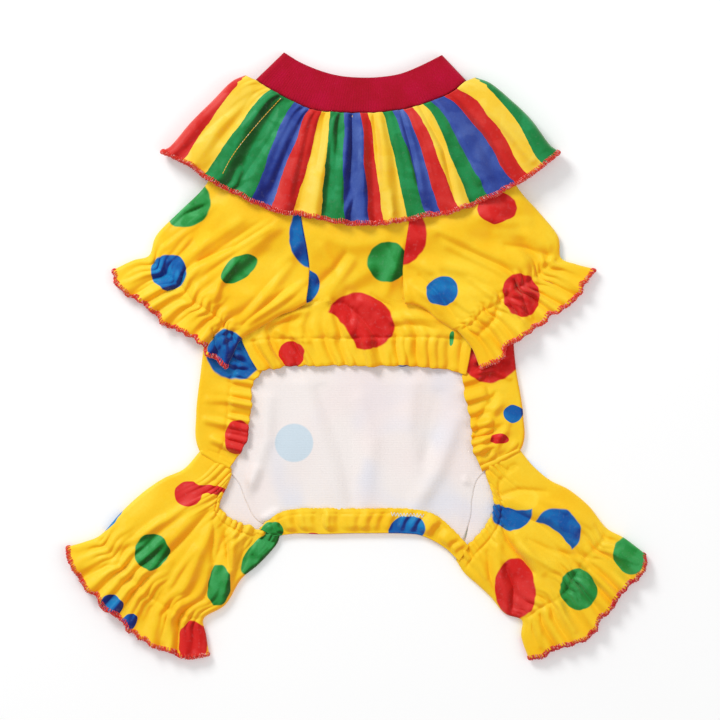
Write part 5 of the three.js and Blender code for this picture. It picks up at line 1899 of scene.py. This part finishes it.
    def stripes(self) -> Callable[[float, float, bool], Point]:
        """Reader of the stripe coordinates, where each whole stripe is 1 / STRIPES wide."""
        shape = self.shape()
        across = spread(0, 1, 400)

        def share_at(t: float, x: float) -> float:
            """Share of the width at which the layout reaches x on row t."""
            xs = [shape(s, t)[0] for s in across]
            for i in range(len(xs) - 1):
                if xs[i] <= x <= xs[i + 1]:
                    return mix(across[i], across[i + 1], (x - xs[i]) / (xs[i + 1] - xs[i]))
            return 0.0 if x < xs[0] else 1.0

        neck = [share_at(0.0, plan(c, 0)[0]) for c in self.NECK_STRIPES]
        hem = [share_at(1.0, plan(c, 0)[0]) for c in self.HEM_STRIPES]
        even = [(i + 1) / STRIPES for i in range(STRIPES - 1)]

        def read(v: float, t: float, away: bool) -> Point:
            """Stripe coordinates at a place."""
            s = ring_place(v, 0.01)[0]
            ends = even if away else [mix(a, b, t) for a, b in zip(neck, hem)]
            bounds = [0.0, *ends, 1.0]
            i = 0
            while i < STRIPES - 1 and s > bounds[i + 1]:
                i += 1
            share = clamp01((s - bounds[i]) / max(1e-4, bounds[i + 1] - bounds[i]))
            return (i + min(share, 0.999)) / STRIPES, t

        return read

    def build(self, shop: Workshop) -> list[Piece]:
        """Builds the ruffle and its overlocked hem.

        Args:
            shop: the shared shader groups.

        Returns:
            The pieces.
        """
        place = self.surface()
        rows = joined(spread(0, 0.4, 22), spread(0.4, 0.85, 20), spread(0.85, 1, 14))
        mesh = self.weave(ring_columns(420, 230), rows, place, self.stripes(), hidden=lambda v: v > 0.5)
        self.settle(mesh, True, (0, 140))
        wrong = shop.wrong_side("ruffle_inside")
        piece = self.finish(mesh, shop.striped("ruffle_striped"), wrong, "striped_plush")
        hem = Overlock("ruffle_overlock", Dye.THREAD_RED, 5).build(shop, place, 0.03, 520, "striped_plush")
        return [piece, hem]


@dataclass
class NeckBand(Cloth):
    """Rib knit band, folded double, whose ribs run up from the neck seam."""

    flat: tuple[float, float] = (0.29, 0.025)
    rib: float = 1.9
    deep: float = 0.24

    def surface(self) -> Place:
        """Mid-surface of the band at (v, t), mm."""
        seam, top = edge_of(NECK_SEAM), edge_of(NECK_TOP)
        left, right = straight(NECK_SEAM[0], NECK_TOP[0]), straight(NECK_SEAM[-1], NECK_TOP[-1])
        shape = layout(seam, top, left, right)
        long = sum(math.dist(a, b) for a, b in zip(NECK_SEAM, NECK_SEAM[1:]))
        ribs = round(long / self.rib)
        gathers = Gathers(26, 31, 1.8)

        def place(v: float, t: float) -> Vector:
            """Point of the band."""
            s, front = ring_place(v, 2.4 / math.dist(left(t), right(t)))
            x, y = shape(s, t)
            ridge = self.deep * (abs(math.sin(math.pi * ribs * s)) ** 0.8 - 0.5)
            puff = 0.7 * math.sin(math.pi * clamp01(t * 1.1)) ** 0.7
            soft = 0.5 * wander(x, y, 22, 1.3)
            sewn = 0.6 * smooth(0.25, 0.0, t) * (gathers.at(s) - 0.4)
            low = mix(4.4, RIB / 2, smooth(0, 0.8, t)) + abs(ridge) * 0.4
            high = mix(10.4, 6.8, t) + 0.5 * math.sin(math.pi * s) * (1 - t) + ridge + puff + soft + sewn
            return Vector((x, y, mix(low, high, front)))

        return place

    def build(self, shop: Workshop) -> Piece:
        """Builds the band.

        Args:
            shop: the shared shader groups.

        Returns:
            The piece.
        """
        place = self.surface()
        mesh = self.weave(ring_columns(640, 360), spread(0, 1, 16), place, hidden=lambda v: v > 0.5)
        self.settle(mesh, True, (0, 185))
        piece = self.finish(mesh, shop.ribbed("neck_band_rib"), shop.ribbed("neck_band_inside"), "rib_knit")
        return piece


# ---- stitches ----
@dataclass
class Stitching(Thread):
    """A line of stitches that lies on the cloth below it."""

    line: tuple[Point, ...]
    length: float
    gap: float
    lean: float = 0.0
    strand: float = 0.26
    high: float = 0.1
    STEPS = 4  # straight parts of one stitch

    def build(self, shop: Workshop, ground: Sequence[Piece], slot: str) -> Piece:
        """Builds the stitches.

        Args:
            shop: the shared shader groups.
            ground: the cloths that the line crosses.
            slot: handed on to finish.

        Returns:
            The stitches' piece.
        """
        trees = [BVHTree.FromObject(piece, bpy.context.evaluated_depsgraph_get()) for piece in ground]
        way = edge_of([plan(*p) for p in self.line])
        samples = [way(i / 400) for i in range(401)]
        total = sum(math.dist(a, b) for a, b in zip(samples, samples[1:]))
        curve = self.start(self.strand, 1)

        def on_cloth(at: float, aside: float) -> Vector | None:
            """Point on the cloth at a length along the line and a distance beside it, mm."""
            k = clamp01(at / total)
            (ax, ay), (bx, by) = way(max(0, k - 0.003)), way(min(1, k + 0.003))
            long = math.hypot(bx - ax, by - ay) or 1
            x, y = way(k)
            x, y = x - (by - ay) / long * aside, y + (bx - ax) / long * aside
            tops = [tree.ray_cast(Vector((x * MM, y * MM, 0.1)), Vector((0, 0, -1)))[0] for tree in trees]
            heights = [hit.z for hit in tops if hit is not None]
            return Vector((x * MM, y * MM, max(heights) + self.high * MM)) if heights else None

        count = int(total / (self.length + self.gap))
        for i in range(count):
            start = i * (self.length + self.gap)
            points = []
            for k in range(self.STEPS + 1):
                share = k / self.STEPS
                point = on_cloth(start + share * self.length, self.lean * (share - 0.5) * (1 if i % 2 else -1))
                if point:
                    points.append(point + Vector((0, 0, (math.sin(math.pi * share) - 0.8) * self.strand * MM)))
            if len(points) > 2:
                self.strand_through(curve, points, 1.0)
        # Pale cream painted highlights on the thread.
        return self.finish(curve, shop, (0.95, 0.9, 0.8, 1.0), slot)


# ---- studio ----
@dataclass
class Studio:
    """Pale table, soft light from all round, and a camera straight above."""

    floor: float = 3.0
    height: float = 2.6
    view: float = 0.504

    def build(self) -> None:
        """Sets the table, the lights and the camera."""
        scene = bpy.context.scene
        mesh = bmesh.new()
        bmesh.ops.create_grid(mesh, x_segments=4, y_segments=4, size=self.floor)
        bmesh.ops.translate(mesh, verts=mesh.verts, vec=(0, 0, -0.0003))
        data = bpy.data.meshes.new("table_top")
        mesh.to_mesh(data)
        mesh.free()
        table = bpy.data.objects.new("table_top", data)
        scene.collection.objects.link(table)
        material = bpy.data.materials.new("table_white")
        material.use_nodes = True
        shader = material.node_tree.nodes["Principled BSDF"]
        shader.inputs["Base Color"].default_value = (0.94, 0.94, 0.94, 1.0)
        shader.inputs["Roughness"].default_value = 1.0
        shader.inputs["Specular IOR Level"].default_value = 0.0
        shader.inputs["Emission Color"].default_value = (1.0, 1.0, 1.0, 1.0)
        shader.inputs["Emission Strength"].default_value = 0.1
        data.materials.append(material)

        world = scene.world or bpy.data.worlds.new("studio")
        scene.world = world
        world.use_nodes = True
        world.node_tree.nodes["Background"].inputs["Color"].default_value = (1.0, 1.0, 1.0, 1.0)
        world.node_tree.nodes["Background"].inputs["Strength"].default_value = 0.58
        self.softbox("key_light", (-1.0, 1.3, 1.25), 0.7, 23.0)
        self.softbox("fill_light", (1.5, -0.6, 1.6), 1.6, 8.0)
        scene.view_settings.view_transform = "Standard"
        scene.view_settings.look = "None"

        lens = bpy.data.cameras.new("camera")
        lens.sensor_width = 36.0
        lens.lens = lens.sensor_width * (self.height - 0.006) / self.view
        camera = bpy.data.objects.new("camera", lens)
        camera.location = (0.0, 0.0, self.height)
        scene.collection.objects.link(camera)
        scene.camera = camera

    def softbox(self, name: str, place: tuple[float, float, float], size: float, watts: float) -> None:
        """Adds a square light aimed at the garment.

        Args:
            name: the light's name.
            place: where it hangs, m.
            size: its side, m.
            watts: its power.
        """
        lamp = bpy.data.lights.new(name, "AREA")
        lamp.shape = "SQUARE"
        lamp.size = size
        lamp.energy = watts
        holder = bpy.data.objects.new(name, lamp)
        holder.location = place
        holder.rotation_euler = (-Vector(place)).to_track_quat("-Z", "Y").to_euler()
        bpy.context.scene.collection.objects.link(holder)


def main() -> None:
    """Builds the whole costume in order."""
    logging.basicConfig(level=logging.INFO, format="%(name)s: %(message)s")
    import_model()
    Studio().build()
    shop = Workshop.open()
    table = {"back": BackPanel("back_panel_cloth", "back_panel", PLUSH).build(shop)}
    LOG.info("back panel")
    table["rump"] = RumpHem("rump_hem_cloth", "rump_hem", PLUSH).build(shop)
    table["chest"] = ChestPanel("chest_panel_cloth", "chest_panel", PLUSH).build(shop)
    LOG.info("rump hem and chest")
    for limb in (sleeve_left(), sleeve_right(), leg_left(), leg_right()):
        cloth, _ = limb.build(shop)
        table[limb.node] = cloth
        LOG.info("%s", limb.node)
    table["ruffle"], _ = RuffleCollar("ruffle_collar_cloth", "ruffle_collar", STRIPED).build(shop)
    table["neck"] = NeckBand("neck_band_cloth", "neck_band", RIB).build(shop)
    LOG.info("ruffle and neck band")
    line = ((281, 99), (262, 120), (243, 143), (231, 160), (222, 177))
    seam = Stitching("ruffle_seam", Dye.THREAD_GOLD, line, 1.6, 0.5)
    seam.build(shop, [table["ruffle"]], "striped_plush")
    line = ((391, 514), (400, 515), (412, 515), (424, 516))
    seam = Stitching("rump_overlock", Dye.THREAD_WHITE, line, 1.15, 0.0, 2.6)
    seam.build(shop, [table["rump"]], "plush")
    LOG.info("stitches")


if __name__ == "__main__":
    main()
